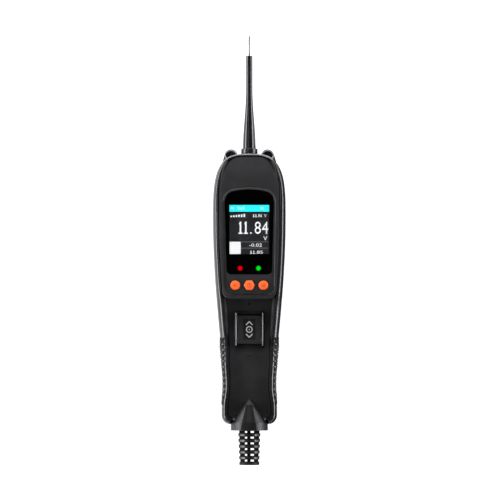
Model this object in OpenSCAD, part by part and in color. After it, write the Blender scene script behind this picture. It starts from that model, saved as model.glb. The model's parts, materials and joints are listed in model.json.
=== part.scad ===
// Automotive circuit tester, lying on its back with the display up.
// X runs across it, Y along it towards the probe tip and Z up out of the display.
// The origin is at the middle of the resting plane under the whole length, cable boot and needle included.

/* [Lengths] */
// Probe that stands out of the head end
probe_out = 84.5; // [70:0.5:110]
// Casing from the head end to the tail end
case_len = 192.4; // [186:0.1:204]
// Round cable boss behind the tail end
boss_len = 4.4; // [3:0.1:7]
// Cable boot behind the boss
boot_len = 24.7; // [23:0.1:32]

/* [Casing outline] */
// Head beside the lit area of the screen
head_side = 11.85; // [11:0.05:13]
// Handle
grip_w = 36.4; // [35.6:0.2:41]
// Flare at the tail end, over the handle's width
tail_flare = 3; // [0:0.1:4]
// From the head end back to the widest part
head_arc_len = 44.4; // [40:0.1:48]
// Handle in front of the tail end, before the casing widens
handle_len = 32; // [28:0.5:46]
// Squareness of the rounded head, 2 is an ellipse
head_square = 3.25; // [2.6:0.05:4]
// Round corner in plan at the tail
tail_r = 6.5; // [5:0.5:9]
// Round edge along the back, across
back_round_w = 6.5; // [4:0.5:6.5]
// Round edge along the back, up
back_round_h = 9; // [6:0.5:12]

/* [Casing heights] */
// Seam between the shells, which holds the probe and cable axes
seam_z = 17; // [16:0.1:17.6]
// Front of the head
head_z = 38; // [37:0.1:39]
// Floor of the sunken grip
valley_z = 26; // [25.8:0.1:27]
// Fall of the grip floor towards the tail
valley_fall = 4; // [2:0.1:4.4]
// Rise of the back towards the head end
back_rise = 6; // [3:0.1:7]
// Fall of the front towards the head end
front_fall = 2.4; // [1:0.1:8]
// Casing wall
wall = 2.2; // [1.8:0.1:2.4]
// Front of the head, thicker under the display lens
front_wall = 3; // [2.7:0.1:3.2]

/* [Side grips] */
// Width seen from the front, beside the head
rim_head = 4.5; // [3.8:0.1:5]
// Width seen from the front, beside the handle
rim_grip = 3; // [2.8:0.1:3.6]
// Stand of the grip over the sunken floor
rim_stand = 5; // [4:0.1:6]
// Rubber wall
rim_wall = 2.2; // [1.8:0.1:2.6]
// Height of a nub
nub_h = 0.7; // [0.4:0.1:1]
// Distance between nub rows
nub_pitch = 4; // [3.6:0.1:4.4]
// Nub rows on each side
nub_rows = 12; // [8:1:12]
// From the tail end to the first nub row
nub_from_tail = 15; // [13:0.5:18]

/* [Display] */
// Lit area of the screen, across
lcd_w = 28; // [24:0.1:28.4]
// Lit area of the screen, along
lcd_h = 35; // [30:0.1:36]
// From the head end to the top of the lens
lens_from_head = 25.6; // [24.5:0.1:26.5]
// Lens above the lit area
lens_over_lcd = 10.6; // [9:0.1:12]
// Lens beside the lit area, at its top
lens_side = 3.45; // [2.6:0.05:3.8]
// Lens beside the lit area, at its bottom
lens_side_low = 2.05; // [1.6:0.05:2.6]
// Lens thickness
lens_t = 1.5; // [1.2:0.1:1.7]
// Bonding frame behind the lens
frame_t = 0.3; // [0.2:0.05:0.4]
// Display module thickness
lcd_t = 3; // [2.6:0.1:3.2]
// Panel around lens and buttons, sunk into the head
panel_sink = 0.7; // [0.4:0.1:0.9]

/* [Indicators and buttons] */
// Indicator light diameter
lamp_dot_d = 3.6; // [3:0.1:4]
// Distance between the two indicators
dot_gap = 13; // [11:0.1:15]
// From the lit area down to the indicators
dot_under_lcd = 10.1; // [9.4:0.1:12]
// Lens below the indicators
lens_under_dots = 4.3; // [3.4:0.1:5]
// Round button diameter
button_d = 7; // [6:0.1:7.6]
// Hexagonal button, corner to corner
hex_d = 7.8; // [7:0.1:8.2]
// Distance between buttons
button_gap = 10; // [9.8:0.1:10.6]
// From the indicators down to the buttons
button_under_dots = 12.1; // [11.6:0.1:13]
// Stand of a button over the panel
button_stand = 1.2; // [0.8:0.1:1.8]
// Button travel
button_travel = 0.5; // [0.3:0.1:0.6]

/* [Rocker] */
// Bezel, across
bezel_w = 20.9; // [20.4:0.1:22]
// Bezel, along
bezel_h = 26.4; // [25:0.1:28]
// Rocker cap, across
rocker_w = 17.4; // [16:0.1:17.6]
// Rocker cap, from its axle to each end
rocker_r = 10.9; // [10:0.1:11.2]
// From the lip below the buttons down to the rocker axle
rocker_from_lip = 21.7; // [20:0.1:24]
// Rocker tilt each way
rocker_tilt = 6; // [4:0.5:7]
// Axle diameter
axle_d = 2.4; // [2:0.1:2.8]

/* [Probe] */
// Needle diameter
needle_d = 1.2; // [0.8:0.1:1.6]
// Bare needle
needle_out = 14.5; // [10:0.1:20]
// Sleeve diameter along its thin part
sleeve_d = 4.7; // [4:0.1:5.4]
// Sleeve diameter at the collar
sleeve_root_d = 9.2; // [8:0.1:10]
// Length of the sleeve's flare, from the collar
flare_len = 42; // [34:0.5:46]
// Collar diameter
collar_d = 11.8; // [11:0.1:13]
// Collar length
collar_len = 3.6; // [3:0.1:5]
// Plug diameter
plug_d = 4; // [3.6:0.1:4.4]
// Plug length
plug_len = 22; // [18:0.5:24]

/* [Work lamps] */
// Hood diameter
hood_d = 9.4; // [8.6:0.1:9.8]
// Distance between the two hoods
hood_gap = 26; // [25:0.1:26.6]
// Reach of a hood's lower lip past the head end
hood_reach = 3.5; // [2.8:0.1:4]
// Slope of a hood's mouth, which opens upwards
hood_cut = 36; // [30:1:40]
// Flare of the skirt that joins a hood to the casing's side
skirt_flare = 17; // [12:1:20]
// Hood wall
hood_wall = 1; // [0.8:0.1:1.3]
// Upward tilt of a hood
hood_tilt = 12; // [8:1:16]

/* [Cable boot] */
// Boss diameter
boss_d = 26.4; // [25:0.1:27.6]
// Boot diameter at the boss
boot_d = 16; // [15:0.1:17]
// Boot diameter at its end
boot_end_d = 14.2; // [13.4:0.1:15]
// Cable passage
cable_d = 7.2; // [6:0.1:7.6]
// Rows of slots in the boot
boot_rows = 6; // [4:1:6]
// Distance between slot rows
boot_pitch = 4.08; // [3.8:0.01:4.2]

/* [Boards and screws] */
// Board thickness
board_t = 1.6; // [1.2:0.1:1.8]
// Underside of the power board over the resting plane
power_board_z = 10.4; // [10:0.1:10.8]
// Case screw thread diameter
screw_d = 2.6; // [2.2:0.1:3]
// Case screw head diameter
screw_head_d = 5; // [4.4:0.1:5.6]

/* [Clearances] */
// Between parts that only lie side by side
gap = 0.15; // [0.1:0.01:0.2]
// Between the axle and the rocker cap
running_gap = 0.05; // [0.02:0.01:0.08]
// Around a button or the rocker cap
moving_gap = 0.25; // [0.15:0.05:0.35]

/* [Hidden] */
$fn = 48;

// Places along Y, worked out so that the whole length is centred on the origin
total_len = probe_out + case_len + boss_len + boot_len;
tip_y = total_len / 2;
head_y = tip_y - probe_out;
tail_y = head_y - case_len;
boss_y = tail_y - boss_len;
boot_end_y = boss_y - boot_len;
wide_y = head_y - head_arc_len;
grip_y = tail_y + handle_len;
lens_top_y = head_y - lens_from_head;
lcd_y = lens_top_y - lens_over_lcd - lcd_h / 2;
dot_y = lcd_y - lcd_h / 2 - dot_under_lcd;
lens_low_y = dot_y - lens_under_dots;
button_y = dot_y - button_under_dots;
lip_behind_buttons = 9.9;
lip_y = button_y - lip_behind_buttons;
rocker_y = lip_y - rocker_from_lip;

// Widths that follow from the display and the handle
head_w = lcd_w + 2 * head_side;
tail_w = grip_w + tail_flare;
lens_w = lcd_w + 2 * lens_side;
lens_w_low = lcd_w + 2 * lens_side_low;

// Casing outline in plan
function ease(t) = let (u = min(max(t, 0), 1)) u * u * (3 - 2 * u);
function swell(t) = pow(sin(90 * min(max(t, 0), 1)), 1.15);
flare_start_y = tail_y + 0.81 * handle_len;
flare_to_tail = 0.44 * handle_len;
function half_w(y) = y >= grip_y
    ? grip_w / 2 + (head_w - grip_w) / 2 * swell((y - grip_y) / (wide_y - grip_y))
    : grip_w / 2 + (tail_w - grip_w) / 2 * ease((flare_start_y - y) / flare_to_tail);
rim_slim_y = grip_y + 4;
rim_growth = 22;
function rim_w(y) = rim_grip + (rim_head - rim_grip) * ease((y - rim_slim_y) / rim_growth);

// A side of the outline is tail corner, straight side and head arc, and inset d shrinks it all round.
// With rim = 1 it is the front cover's outline, inside the side grips.
head_arc_steps = 11;
corner_steps = 5;
head_arc_end = 84;
cover_square = 3.8;
cover_corner_less = 1.5;
corner_r_min = 0.5;
function head_pt(a, d, rim) =
    let (n = head_square + (cover_square - head_square) * rim,
         rx = head_w / 2 - rim * rim_head - d,
         ry = head_arc_len - d)
    [rx * pow(cos(a), 2 / n), wide_y + ry * pow(sin(a), 2 / n)];
function corner_pt(a, d, rim) =
    let (r = max(tail_r - rim * cover_corner_less - d, corner_r_min),
         x = tail_w / 2 - rim * rim_grip - d - r,
         y = tail_y + rim * rim_grip + d + r)
    [x + r * sin(a), y - r * cos(a)];
function side_x(y, d, rim) = half_w(y) - rim * rim_w(y) - d;

// Heights of the front surface
crown_r = 0.8;
trough_w = 2.2;
trough_h = 1;
shoulder_h = 5;
shoulder_from = lip_y - 32;
shoulder_len = 28;
valley_fall_from = tail_y + 32;
valley_fall_len = 26;
flat_past_lens = 4;
function valley(y) = valley_z - valley_fall * ease((valley_fall_from - y) / valley_fall_len);
function head_top(y) =
    let (t = (y - lens_top_y - flat_past_lens) / (lens_from_head - flat_past_lens))
    head_z - front_fall * pow(min(max(t, 0), 1), 2);
// The grip's floor curves up beside the side grips, most of all below the lip
function trough_rise(d, y) = d < trough_w
    ? (trough_h + shoulder_h * ease((y - shoulder_from) / shoulder_len)) * pow(1 - d / trough_w, 2) : 0;
back_head_len = 44;
back_tail_len = 24;
back_tail_share = 0.5;
function back_z(y) = back_rise * (ease((y - head_y) / back_head_len + 1)
    + back_tail_share * ease((tail_y - y) / back_tail_len + 1));
rim_under_head = 1.2;
// A groove follows the head's arch and leaves a thin rim outside it
groove_from = 1.1;
groove_to = 2.1;
groove_h = 1;
groove_start_y = head_y - 18;
groove_ease_len = 10;
function groove_drop(d, y) = d > groove_from && d < groove_to
    ? groove_h * ease((y - groove_start_y) / groove_ease_len) : 0;
rim_climb_from = lip_y - 14;
rim_climb_len = 26;
function rim_climb(y) = head_top(min(y, head_y)) - rim_under_head - valley(lip_y) - rim_stand;
function rim_z(y) = valley(y) + rim_stand + rim_climb(y) * ease((y - rim_climb_from) / rim_climb_len);

// Skin over a stack of rings: each ring lists one side from tail to head, and the other side mirrors it
module skin(rings) {
    m = len(rings[0]);
    n = 2 * m;
    k = len(rings);
    full = [for (ring = rings) each
        concat(ring, [for (i = [m - 1:-1:0]) [-ring[i][0], ring[i][1], ring[i][2]]])];
    walls = [for (j = [0:k - 2]) for (i = [0:n - 1])
        [j * n + i, (j + 1) * n + i, (j + 1) * n + (i + 1) % n, j * n + (i + 1) % n]];
    first = [for (i = [0:m - 2]) [i, i + 1, n - 2 - i, n - 1 - i]];
    last = [for (f = first) [f[3], f[2], f[1], f[0]] + [1, 1, 1, 1] * (k - 1) * n];
    polyhedron(full, concat(walls, first, last), convexity = 10);
}

// Box by its middle in X and Y and its span in Z
module block(w, h, z0, z1, y = 0, x = 0) {
    translate([x - w / 2, y - h / 2, z0]) cube([w, h, z1 - z0]);
}

// Plate in plan with round corners
module round_plate(w, h, r, z0, z1, y = 0, x = 0) {
    translate([x, y, z0]) linear_extrude(z1 - z0) rounded(w, h, r);
}

module rounded(w, h, r) {
    union() {
        square([w - 2 * r, h], center = true);
        square([w, h - 2 * r], center = true);
        for (sx = [-1, 1], sy = [-1, 1]) translate([sx * (w / 2 - r), sy * (h / 2 - r)]) circle(r);
    }
}

// Upright pin
module post(x, y, z0, z1, d) {
    translate([x, y, z0]) cylinder(d = d, h = z1 - z0);
}

// Pin along Y on the seam axis
module along(y0, y1, d, x = 0) {
    translate([x, y1, seam_z]) rotate([90, 0, 0]) cylinder(d = d, h = y1 - y0);
}

// Turned part on the seam axis, from [radius, y] points
module turned(points) {
    translate([0, 0, seam_z]) rotate([-90, 0, 0]) rotate_extrude() polygon(points);
}

// Rear shell
back_arc_steps = 4;
flare_ys = [for (share = [1.04, 0.76, 0.5, 0.25, 0]) flare_start_y - share * flare_to_tail];
swell_steps = 9;
shell_swell_ys = [for (i = [1:swell_steps]) grip_y + (wide_y - grip_y) * i / swell_steps];
shell_ys = concat(flare_ys, [grip_y], shell_swell_ys);
function ring_xy(d, rim) = concat(
    [for (i = [0:corner_steps]) corner_pt(90 * i / corner_steps, d, rim)],
    [for (y = shell_ys) [side_x(y, d, rim), y]],
    [for (i = [1:head_arc_steps]) head_pt(head_arc_end * i / head_arc_steps, d, rim)]);
function shell_ring(d, z) = [for (p = ring_xy(d, 0)) [p[0], p[1], z + back_z(p[1]) * (1 - z / seam_z)]];
function back_rings(d, z0) = [for (i = [0:back_arc_steps])
    let (a = 90 * i / back_arc_steps)
    shell_ring(d + back_round_w * (1 - sin(a)), z0 + (back_round_h - z0 * 0.5) * (1 - cos(a)))];

case_screws = [[head_w / 2 - 11.25, head_y - 16.5], [grip_w / 2 - 6.8, tail_y + 24]];
power_low_y = rocker_y - 19.5;
power_high_y = head_y - 30;
power_screws = [for (y = [power_low_y + 4, power_high_y - 4]) [grip_w / 2 - 7.8, y]];
boot_root_y = tail_y + 6;
boot_flange_y = tail_y + 1.5;
boot_flange_d = 19.6;
boot_flange_t = 2.4;
slot_w = 1.6;
slot_l = 14;
slot_count = 5;
buzzer_y = head_y - 48;
saddle_y = head_y - 20;
function screw_pocket(s) = back_z(s[1]) + 4;

module rear_shell() {
    color("#1b1b1d") difference() {
        union() {
            skin(concat(back_rings(0, 0), [shell_ring(0, seam_z)], [shell_ring(wall, seam_z)],
                 [for (i = [back_arc_steps:-1:0]) back_rings(wall, wall)[i]]));
            intersection() {
                along(boss_y, boot_root_y, boss_d);
                block(60, 60, 0, seam_z, tail_y);
            }
            for (s = case_screws, m = [-1, 1])
                post(m * s[0], s[1], back_z(s[1]) + wall / 2, seam_z, screw_head_d + 2.8);
            for (s = power_screws, m = [-1, 1])
                post(m * s[0], s[1], back_z(s[1]) + wall / 2, power_board_z, 5.2);
            block(socket_d + 5, 2, back_z(saddle_y) + wall / 2, seam_z, saddle_y);
        }
        for (s = case_screws, m = [-1, 1]) {
            post(m * s[0], s[1], -1, screw_pocket(s), screw_head_d + 1);
            post(m * s[0], s[1], -1, seam_z + 1, screw_d + 0.4);
        }
        for (s = power_screws, m = [-1, 1])
            post(m * s[0], s[1], power_board_z - board_screw_len - gap, power_board_z + 1, screw_d - 0.6);
        for (i = [0:slot_count - 1])
            round_plate(slot_l, slot_w, 0.7, -1, wall + 1,
                        buzzer_y + (i - (slot_count - 1) / 2) * slot_w * 2);
        seam_cuts();
    }
}

// What both shells leave free on the seam axis and for the lamp hoods
module seam_cuts() {
    along(boss_y - 1, boot_root_y + 1, boot_d + 2 * gap);
    along(boot_flange_y - gap, boot_flange_y + boot_flange_t + gap, boot_flange_d + 2 * gap);
    along(head_y - 6, head_y + 1, plug_d + 2);
    along(socket_y0 - 1, socket_y1 + gap, socket_d + 2 * gap);
    for (m = [-1, 1]) hood_bore(m);
}

// Front cover: one skin carries the flat head, its lip, the sunken grip and the tail
lip_corner = 5;
function arc_drop(r, d) = d < r ? r - sqrt(r * r - pow(r - d, 2)) : 0;
lip_steps = [[-0.2, 0, 0], [0.2, 1, 2.2], [0.5, 1, 1], [1.2, 1, 0.3], [2.6, 1, 0]];
rim_ys = [for (share = [0, 0.28, 0.5, 0.75, 1]) rim_slim_y + share * rim_growth];
valley_ys = concat(flare_ys, [grip_y], rim_ys,
                   [for (share = [0.45, 0.75]) rim_ys[4] + share * (lip_y - rim_ys[4])]);
head_ys = [for (i = [1:7]) lip_y + 6 + (wide_y - lip_y - 6) * i / 7];

// Each place is [x, y, 1 on the head or 0 in the valley, drop at the lip]
function cover_places(d) = concat(
    [for (i = [0:corner_steps]) concat(corner_pt(90 * i / corner_steps, d, 1), [0, 0])],
    [for (y = valley_ys) [side_x(y, d, 1), y, 0, 0]],
    [for (s = lip_steps) let (y = lip_y + arc_drop(lip_corner, d) + s[0]) [side_x(y, d, 1), y, s[1], s[2]]],
    [for (y = head_ys) [side_x(y, d, 1), y, 1, 0]],
    [for (i = [1:head_arc_steps]) concat(head_pt(head_arc_end * i / head_arc_steps, d, 1), [1, 0])]);
function cover_top(d) = [for (p = cover_places(d))
    [p[0], p[1], p[2] > 0
        ? head_top(p[1]) - max(arc_drop(crown_r, d), p[3]) - groove_drop(d, p[1])
        : valley(p[1]) + trough_rise(d, p[1])]];
function cover_flat(d, z) = [for (p = cover_places(d)) [p[0], p[1], z]];
outer_insets = [0, 0.35, 0.95, 1.2, 1.95, 2.2, 6];

module cover_skin() {
    skin(concat([cover_inner(6 + wall), cover_inner(wall + 1.2), cover_inner(wall), cover_flat(wall, seam_z)],
                [cover_flat(0, seam_z)], [for (d = outer_insets) cover_top(d)]));
}

// Underside, thicker below the head than below the grip
function cover_inner(d) = [for (p = cover_places(d))
    [p[0], p[1] + (p[2] > 0 && p[1] < lip_y + 9 ? wall : 0), p[2] > 0
        ? head_top(p[1]) - front_wall - (d <= wall ? 1 : 0)
        : valley(p[1]) - wall]];

// Fairing between the cable boss and its point on the floor of the grip
fairing_y = tail_y + 16.6;
fairing_base_y = tail_y + 0.9;
fairing_tip_d = 3;
fairing_bore_y = boot_root_y + 3;
module tail_fairing() {
    hull() {
        along(fairing_base_y, fairing_base_y + 0.5, boss_d, $fn = 32);
        translate([0, fairing_y, valley(fairing_y) - fairing_tip_d / 3]) sphere(d = fairing_tip_d, $fn = 24);
    }
}

panel_z = head_z - panel_sink;
lens_low_z = panel_z - lens_t;
module front_cover() {
    color("#303032") difference() {
        union() {
            cover_skin();
            intersection() {
                union() {
                    along(boss_y, fairing_base_y, boss_d);
                    tail_fairing();
                }
                block(60, 60, seam_z, head_z, tail_y);
            }
            for (s = case_screws, m = [-1, 1])
                post(m * s[0], s[1], seam_z + gap, s[1] > lip_y ? head_z - front_wall : valley_z - wall - 2,
                     screw_d + 3.2);
            for (s = display_screws, m = [-1, 1])
                post(m * s[0], s[1], display_board_z + board_t, head_z - front_wall + 0.5, 4.6);
        }
        translate([0, 0, panel_z]) linear_extrude(9) panel_outline();
        translate([0, 0, lens_low_z - frame_t]) linear_extrude(9) lens_outline(gap);
        lens_sight(9);
        for (i = [-1, 0, 1])
            translate([i * button_gap, button_y, head_z - 6]) button_prism(i, moving_gap, 12);
        round_plate(bezel_w - 2 * bezel_lip, bezel_h - 2 * bezel_lip, 0.8, seam_z + 2, valley_z + 9,
                    rocker_y);
        for (s = case_screws, m = [-1, 1]) post(m * s[0], s[1], seam_z - 1, seam_z + 7, screw_d - 0.2);
        for (s = display_screws, m = [-1, 1])
            post(m * s[0], s[1], display_board_z, display_board_top + board_screw_len + gap, screw_d - 0.6);
        along(boot_root_y, fairing_bore_y, boot_d);
        seam_cuts();
    }
}

// Outline of the sunken panel, with an arched top
panel_top_y = lens_top_y + 2.4;
panel_low_y = button_y - 6.4;
module panel_outline() {
    arched(lens_w + 2.6, 2 * side_x(button_y, 0, 1) - 3.4, panel_top_y, panel_low_y, 29, 4.5, 6);
}

module lens_outline(grow) {
    arched(lens_w + 2 * grow, lens_w_low + 2 * grow, lens_top_y + grow, lens_low_y - grow, 56, 3.4, 4.2);
}

// Trapezium with round corners and a bowed top, whose arc runs smoothly into the corners
arc_steps = 6;
function arc(x, y, r, a0, a1, n) =
    [for (i = [0:n]) let (a = a0 + (a1 - a0) * i / n) [x + r * cos(a), y + r * sin(a)]];
module arched(w_top, w_low, y_top, y_low, bow_r, r_low, r_top) {
    top_x = w_top / 2 - r_top;
    low_x = w_low / 2 - r_low;
    bow_rise = sqrt(pow(bow_r - r_top, 2) - top_x * top_x);
    top_a = atan2(bow_rise, top_x);
    bow = arc(0, y_top - bow_r, bow_r, top_a, 180 - top_a, 2 * arc_steps);
    polygon(concat(
        arc(low_x, y_low + r_low, r_low, -90, 0, arc_steps),
        arc(top_x, y_top - bow_r + bow_rise, r_top, 0, top_a, arc_steps),
        [for (i = [1:2 * arc_steps - 1]) bow[i]],
        arc(-top_x, y_top - bow_r + bow_rise, r_top, 180 - top_a, 180, arc_steps),
        arc(-low_x, y_low + r_low, r_low, 180, 270, arc_steps)));
}

// Hole through cover and frame for the lit area and the indicators
module lens_sight(h) {
    round_plate(lcd_w + 1, lcd_h + 1, 0.6, lens_low_z - h, lens_low_z + h, lcd_y);
    for (m = [-1, 1]) post(m * dot_gap / 2, dot_y, lens_low_z - h, lens_low_z + h, lamp_dot_d + 2 * gap);
}

module button_prism(i, grow, h) {
    if (i == 0) cylinder(d = hex_d + 2 * grow / cos(30), h = h, $fn = 6);
    else cylinder(d = button_d + 2 * grow, h = h);
}

// Side grips, a section swept along the outline with nubs on the handle
nub_y0 = tail_y + nub_from_tail;
nub_y1 = nub_y0 + (nub_rows - 0.5) * nub_pitch;
half_pitch = nub_pitch / 2;
function grip_row(i) = nub_y0 + (i - 0.5) * half_pitch;
grip_places = concat(
    [for (i = [1:corner_steps]) [0, 90 * i / corner_steps, 0]],
    [for (i = [0:2 * nub_rows + 1]) [1, grip_row(i), i]],
    [for (i = [1:11]) [1, nub_y1 + 3 + (wide_y - nub_y1 - 3) * i / 11, 0]],
    [for (i = [1:head_arc_steps - 3]) [2, head_arc_end * i / head_arc_steps, 0]]);
function outline_at(s, d, rim) = s[0] == 0 ? corner_pt(s[1], d, rim)
    : s[0] == 1 ? [side_x(s[1], d, rim), s[1]] : head_pt(s[1], d, rim);

// From the casing's outline (0) to the front cover's edge (1), or outwards by h
function grip_xy(s, f, h) =
    let (p = outline_at(s, 0, 0), q = outline_at(s, -gap, 1))
    p + (q - p) * f + (p - q) / norm(p - q) * h;

// Section points as [share of the width, height, nub direction across, nub direction up, nub column or 0]
grip_corner = 10;
function grip_section(s) =
    let (y = outline_at(s, 0, 0)[1], w = norm(outline_at(s, 0, 0) - outline_at(s, -gap, 1)),
         top = rim_z(y), side = top - 3 - seam_z, t = min(rim_wall / w, 0.8),
         low = min(max(valley(y) - 1.4, seam_z + 4) + (top - rim_stand - valley(y)), top - 2))
    [[0, seam_z, 0, 0, 0], [0, seam_z + side * 0.2, 1, 0, 1], [0, seam_z + side * 0.4, 1, 0, 2],
     [0, seam_z + side * 0.6, 1, 0, 3], [0, seam_z + side * 0.8, 1, 0, 4], [0.04, top - 3, 1, 0.2, 5],
     [0.3, top - 0.9, 0.4, 0.6, 6], [0.68, top, 0, 0, 0], [1, top - 0.5, 0, 0, 0],
     [1, low, 0, 0, 0], [t, low - 1.2, 0, 0, 0], [t, seam_z, 0, 0, 0]];
function nub_at(s, q) = s[2] > 0 && s[2] < 2 * nub_rows + 1 && q[4] > 0 && (s[2] + q[4]) % 2 == 0 ? nub_h : 0;
function grip_ring(s) = [for (q = grip_section(s))
    let (h = nub_at(s, q)) concat(grip_xy(s, q[0], q[2] * h), q[1] + q[3] * h)];

module side_grip(m) {
    rings = [for (s = grip_places) grip_ring(s)];
    n = len(rings[0]);
    k = len(rings);
    walls = [for (j = [0:k - 2]) for (i = [0:n - 1])
        [j * n + i, j * n + (i + 1) % n, (j + 1) * n + (i + 1) % n, (j + 1) * n + i]];
    fan = [for (i = [1:n - 2]) [grip_corner, (grip_corner + i + 1) % n, (grip_corner + i) % n]];
    caps = concat(fan, [for (f = fan) [f[0], f[2], f[1]] + [1, 1, 1] * (k - 1) * n]);
    color("#232325") mirror([m < 0 ? 1 : 0, 0, 0]) difference() {
        polyhedron([for (ring = rings) each ring], concat(walls, caps), convexity = 10);
        hood_bore(1);
        along(boss_y - 1, tail_y + 20, boss_d + 2 * gap);
    }
}

module left_side_grip() {
    side_grip(-1);
}

module right_side_grip() {
    side_grip(1);
}

// Display
module display_lens() {
    color("#0b0b0c") translate([0, 0, lens_low_z]) linear_extrude(lens_t) lens_outline(0);
}

module lens_frame() {
    color("#111111") difference() {
        translate([0, 0, lens_low_z - frame_t]) linear_extrude(frame_t) lens_outline(0);
        lens_sight(9);
    }
}

display_board_z = head_z - front_wall - lcd_t - board_t - 0.4;
display_board_top = display_board_z + board_t;
module lcd_module() {
    color("#d8d8d4") difference() {
        block(lcd_w + 5, lcd_h + 9, display_board_top, display_board_top + lcd_t, lcd_y - 2);
        block(lcd_w + 1.6, lcd_h + 1.6, display_board_top + lcd_t - 1, display_board_top + lcd_t + 1, lcd_y);
    }
}

module lcd_glass() {
    color("#20242a")
        block(lcd_w + 1.4, lcd_h + 1.4, display_board_top + lcd_t - 1, display_board_top + lcd_t, lcd_y);
}

module indicator(x, shade) {
    color(shade) union() {
        post(x, dot_y, display_board_top, lens_low_z, lamp_dot_d);
        post(x, dot_y, display_board_top, display_board_top + 0.8, lamp_dot_d + 1.2);
    }
}

module indicator_red() {
    indicator(-dot_gap / 2, "#ff2010");
}

module indicator_green() {
    indicator(dot_gap / 2, "#20e040");
}

// Buttons and their switches
flange_t = 0.9;
switch_h = 1.2;
module button(i) {
    under = head_z - front_wall - 0.1;
    color("#ff6a2c") translate([i * button_gap, button_y, 0]) union() {
        translate([0, 0, under - flange_t]) button_prism(i, 0, panel_z + button_stand - under + flange_t);
        post(0, 0, under - flange_t, under, 9.2);
        post(0, 0, display_board_top + switch_h + button_travel + 0.1, under, 3);
    }
}

module button_left() {
    button(-1);
}

module button_centre() {
    button(0);
}

module button_right() {
    button(1);
}

module key_switches() {
    color("#3a3a3c") for (i = [-1, 0, 1]) union() {
        block(5, 5, display_board_top, display_board_top + switch_h - 0.4, button_y, i * button_gap);
        post(i * button_gap, button_y, display_board_top, display_board_top + switch_h, 2.4);
    }
}

// Display board and what it carries
display_screws = [[lcd_w / 2, button_y + 8.5], [lcd_w / 2 - 1, lens_top_y + 3.6]];
board_w = lcd_w + 4.4;
board_low_y = lip_y + 6;
board_high_y = lens_top_y + 6;
module display_board() {
    color("#1d5a36") difference() {
        block(board_w, board_high_y - board_low_y, display_board_z, display_board_top,
              (board_high_y + board_low_y) / 2);
        for (s = display_screws, m = [-1, 1]) post(m * s[0], s[1], 0, head_z, screw_d - 0.2);
    }
}

board_screw_len = 2.8;
module board_screw() {
    union() {
        cylinder(d = screw_d - 0.7, h = board_t + board_screw_len);
        translate([0, 0, -1.4]) cylinder(d = 4, h = 1.4);
    }
}

module display_board_screws() {
    color("#9a9a9c") for (s = display_screws, m = [-1, 1])
        translate([m * s[0], s[1], display_board_z]) board_screw();
}

module controller_chip() {
    color("#161618") block(9, 9, display_board_z - 1.2, display_board_z, lcd_y);
}

link_y = board_low_y + 6;
link_d = 2.5;
module link_header() {
    color("#26262a") union() {
        block(16, link_d, power_board_z + board_t, power_board_z + board_t + 8.5, link_y);
        for (i = [0:5])
            block(0.64, 0.64, power_board_z + board_t, display_board_z, link_y, (i - 2.5) * 2.54);
    }
}

// Power board and what it carries
power_top = power_board_z + board_t;
power_board_w = grip_w - 10.6;
module power_board() {
    color("#1d5a36") difference() {
        block(power_board_w, power_high_y - power_low_y, power_board_z, power_top,
              (power_high_y + power_low_y) / 2);
        for (s = power_screws, m = [-1, 1]) post(m * s[0], s[1], 0, head_z, screw_d - 0.2);
    }
}

module power_board_screws() {
    color("#9a9a9c") for (s = power_screws, m = [-1, 1])
        translate([m * s[0], s[1], power_top]) mirror([0, 0, 1]) board_screw();
}

rocker_foot = 7;
rocker_switch_h = 3.4;
module rocker_switches() {
    color("#3a3a3c") for (m = [-1, 1]) union() {
        block(6, 6, power_top, power_top + rocker_switch_h - 0.8, rocker_y + m * rocker_foot);
        post(0, rocker_y + m * rocker_foot, power_top, power_top + rocker_switch_h, 3.2);
    }
}

relay_w = 15.5;
relay_h = 12.5;
relay_pitch = 17.5;
relay_gap = 2.3;
relay_y = link_y + (link_d + relay_w) / 2 + relay_gap;
module power_relays() {
    color("#2b4f86") for (i = [0, 1])
        block(relay_w, relay_w, power_top, power_top + relay_h, relay_y + i * relay_pitch);
}

module buzzer() {
    color("#141416") difference() {
        post(0, buzzer_y, power_board_z - 7, power_board_z, 12);
        post(0, buzzer_y, power_board_z - 8, power_board_z - 6, 2);
    }
}

module capacitor() {
    color("#303c58") translate([0, head_y - 38, power_top]) cylinder(d = 8, h = 11.5);
}

terminal_y = power_low_y + 4.5;
module wire_terminal() {
    color("#2f7d4a") difference() {
        block(10.2, 8, power_top, power_top + 7, terminal_y);
        for (m = [-1, 1])
            translate([m * 2.54, terminal_y - 5, power_top + 3]) rotate([-90, 0, 0]) cylinder(d = 2.6, h = 7);
    }
}

// Rocker
bezel_floor = valley_z;
bezel_t = 1.2;
bezel_lip = 0.6;
neck_w = bezel_w - 2 * bezel_lip - 2 * gap;
axle_len = neck_w - 0.4;
rail_h = 2.6;
rail_w = 1.5;
axle_z = valley_z - 1.8;
module rocker_bezel() {
    pocket_w = rocker_w + 2 * moving_gap;
    pocket_h = 2 * (rocker_r + moving_gap);
    color("#1a1a1c") difference() {
        union() {
            round_plate(bezel_w, bezel_h, 1.6, bezel_floor + 0.05, bezel_floor + bezel_t, rocker_y);
            round_plate(neck_w, bezel_h - 2 * bezel_lip - 2 * gap, 0.7, axle_z - 3, bezel_floor + bezel_t,
                        rocker_y);
            for (m = [-1, 1])
                block(rail_w, bezel_h - 3, bezel_floor, bezel_floor + rail_h, rocker_y,
                      m * (bezel_w / 2 - rail_w / 2 - 0.1));
        }
        block(pocket_w, pocket_h, axle_z - 9, bezel_floor + 9, rocker_y);
        translate([0, rocker_y, axle_z]) rotate([0, 90, 0]) cylinder(d = axle_d, h = axle_len, center = true);
    }
}

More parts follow.
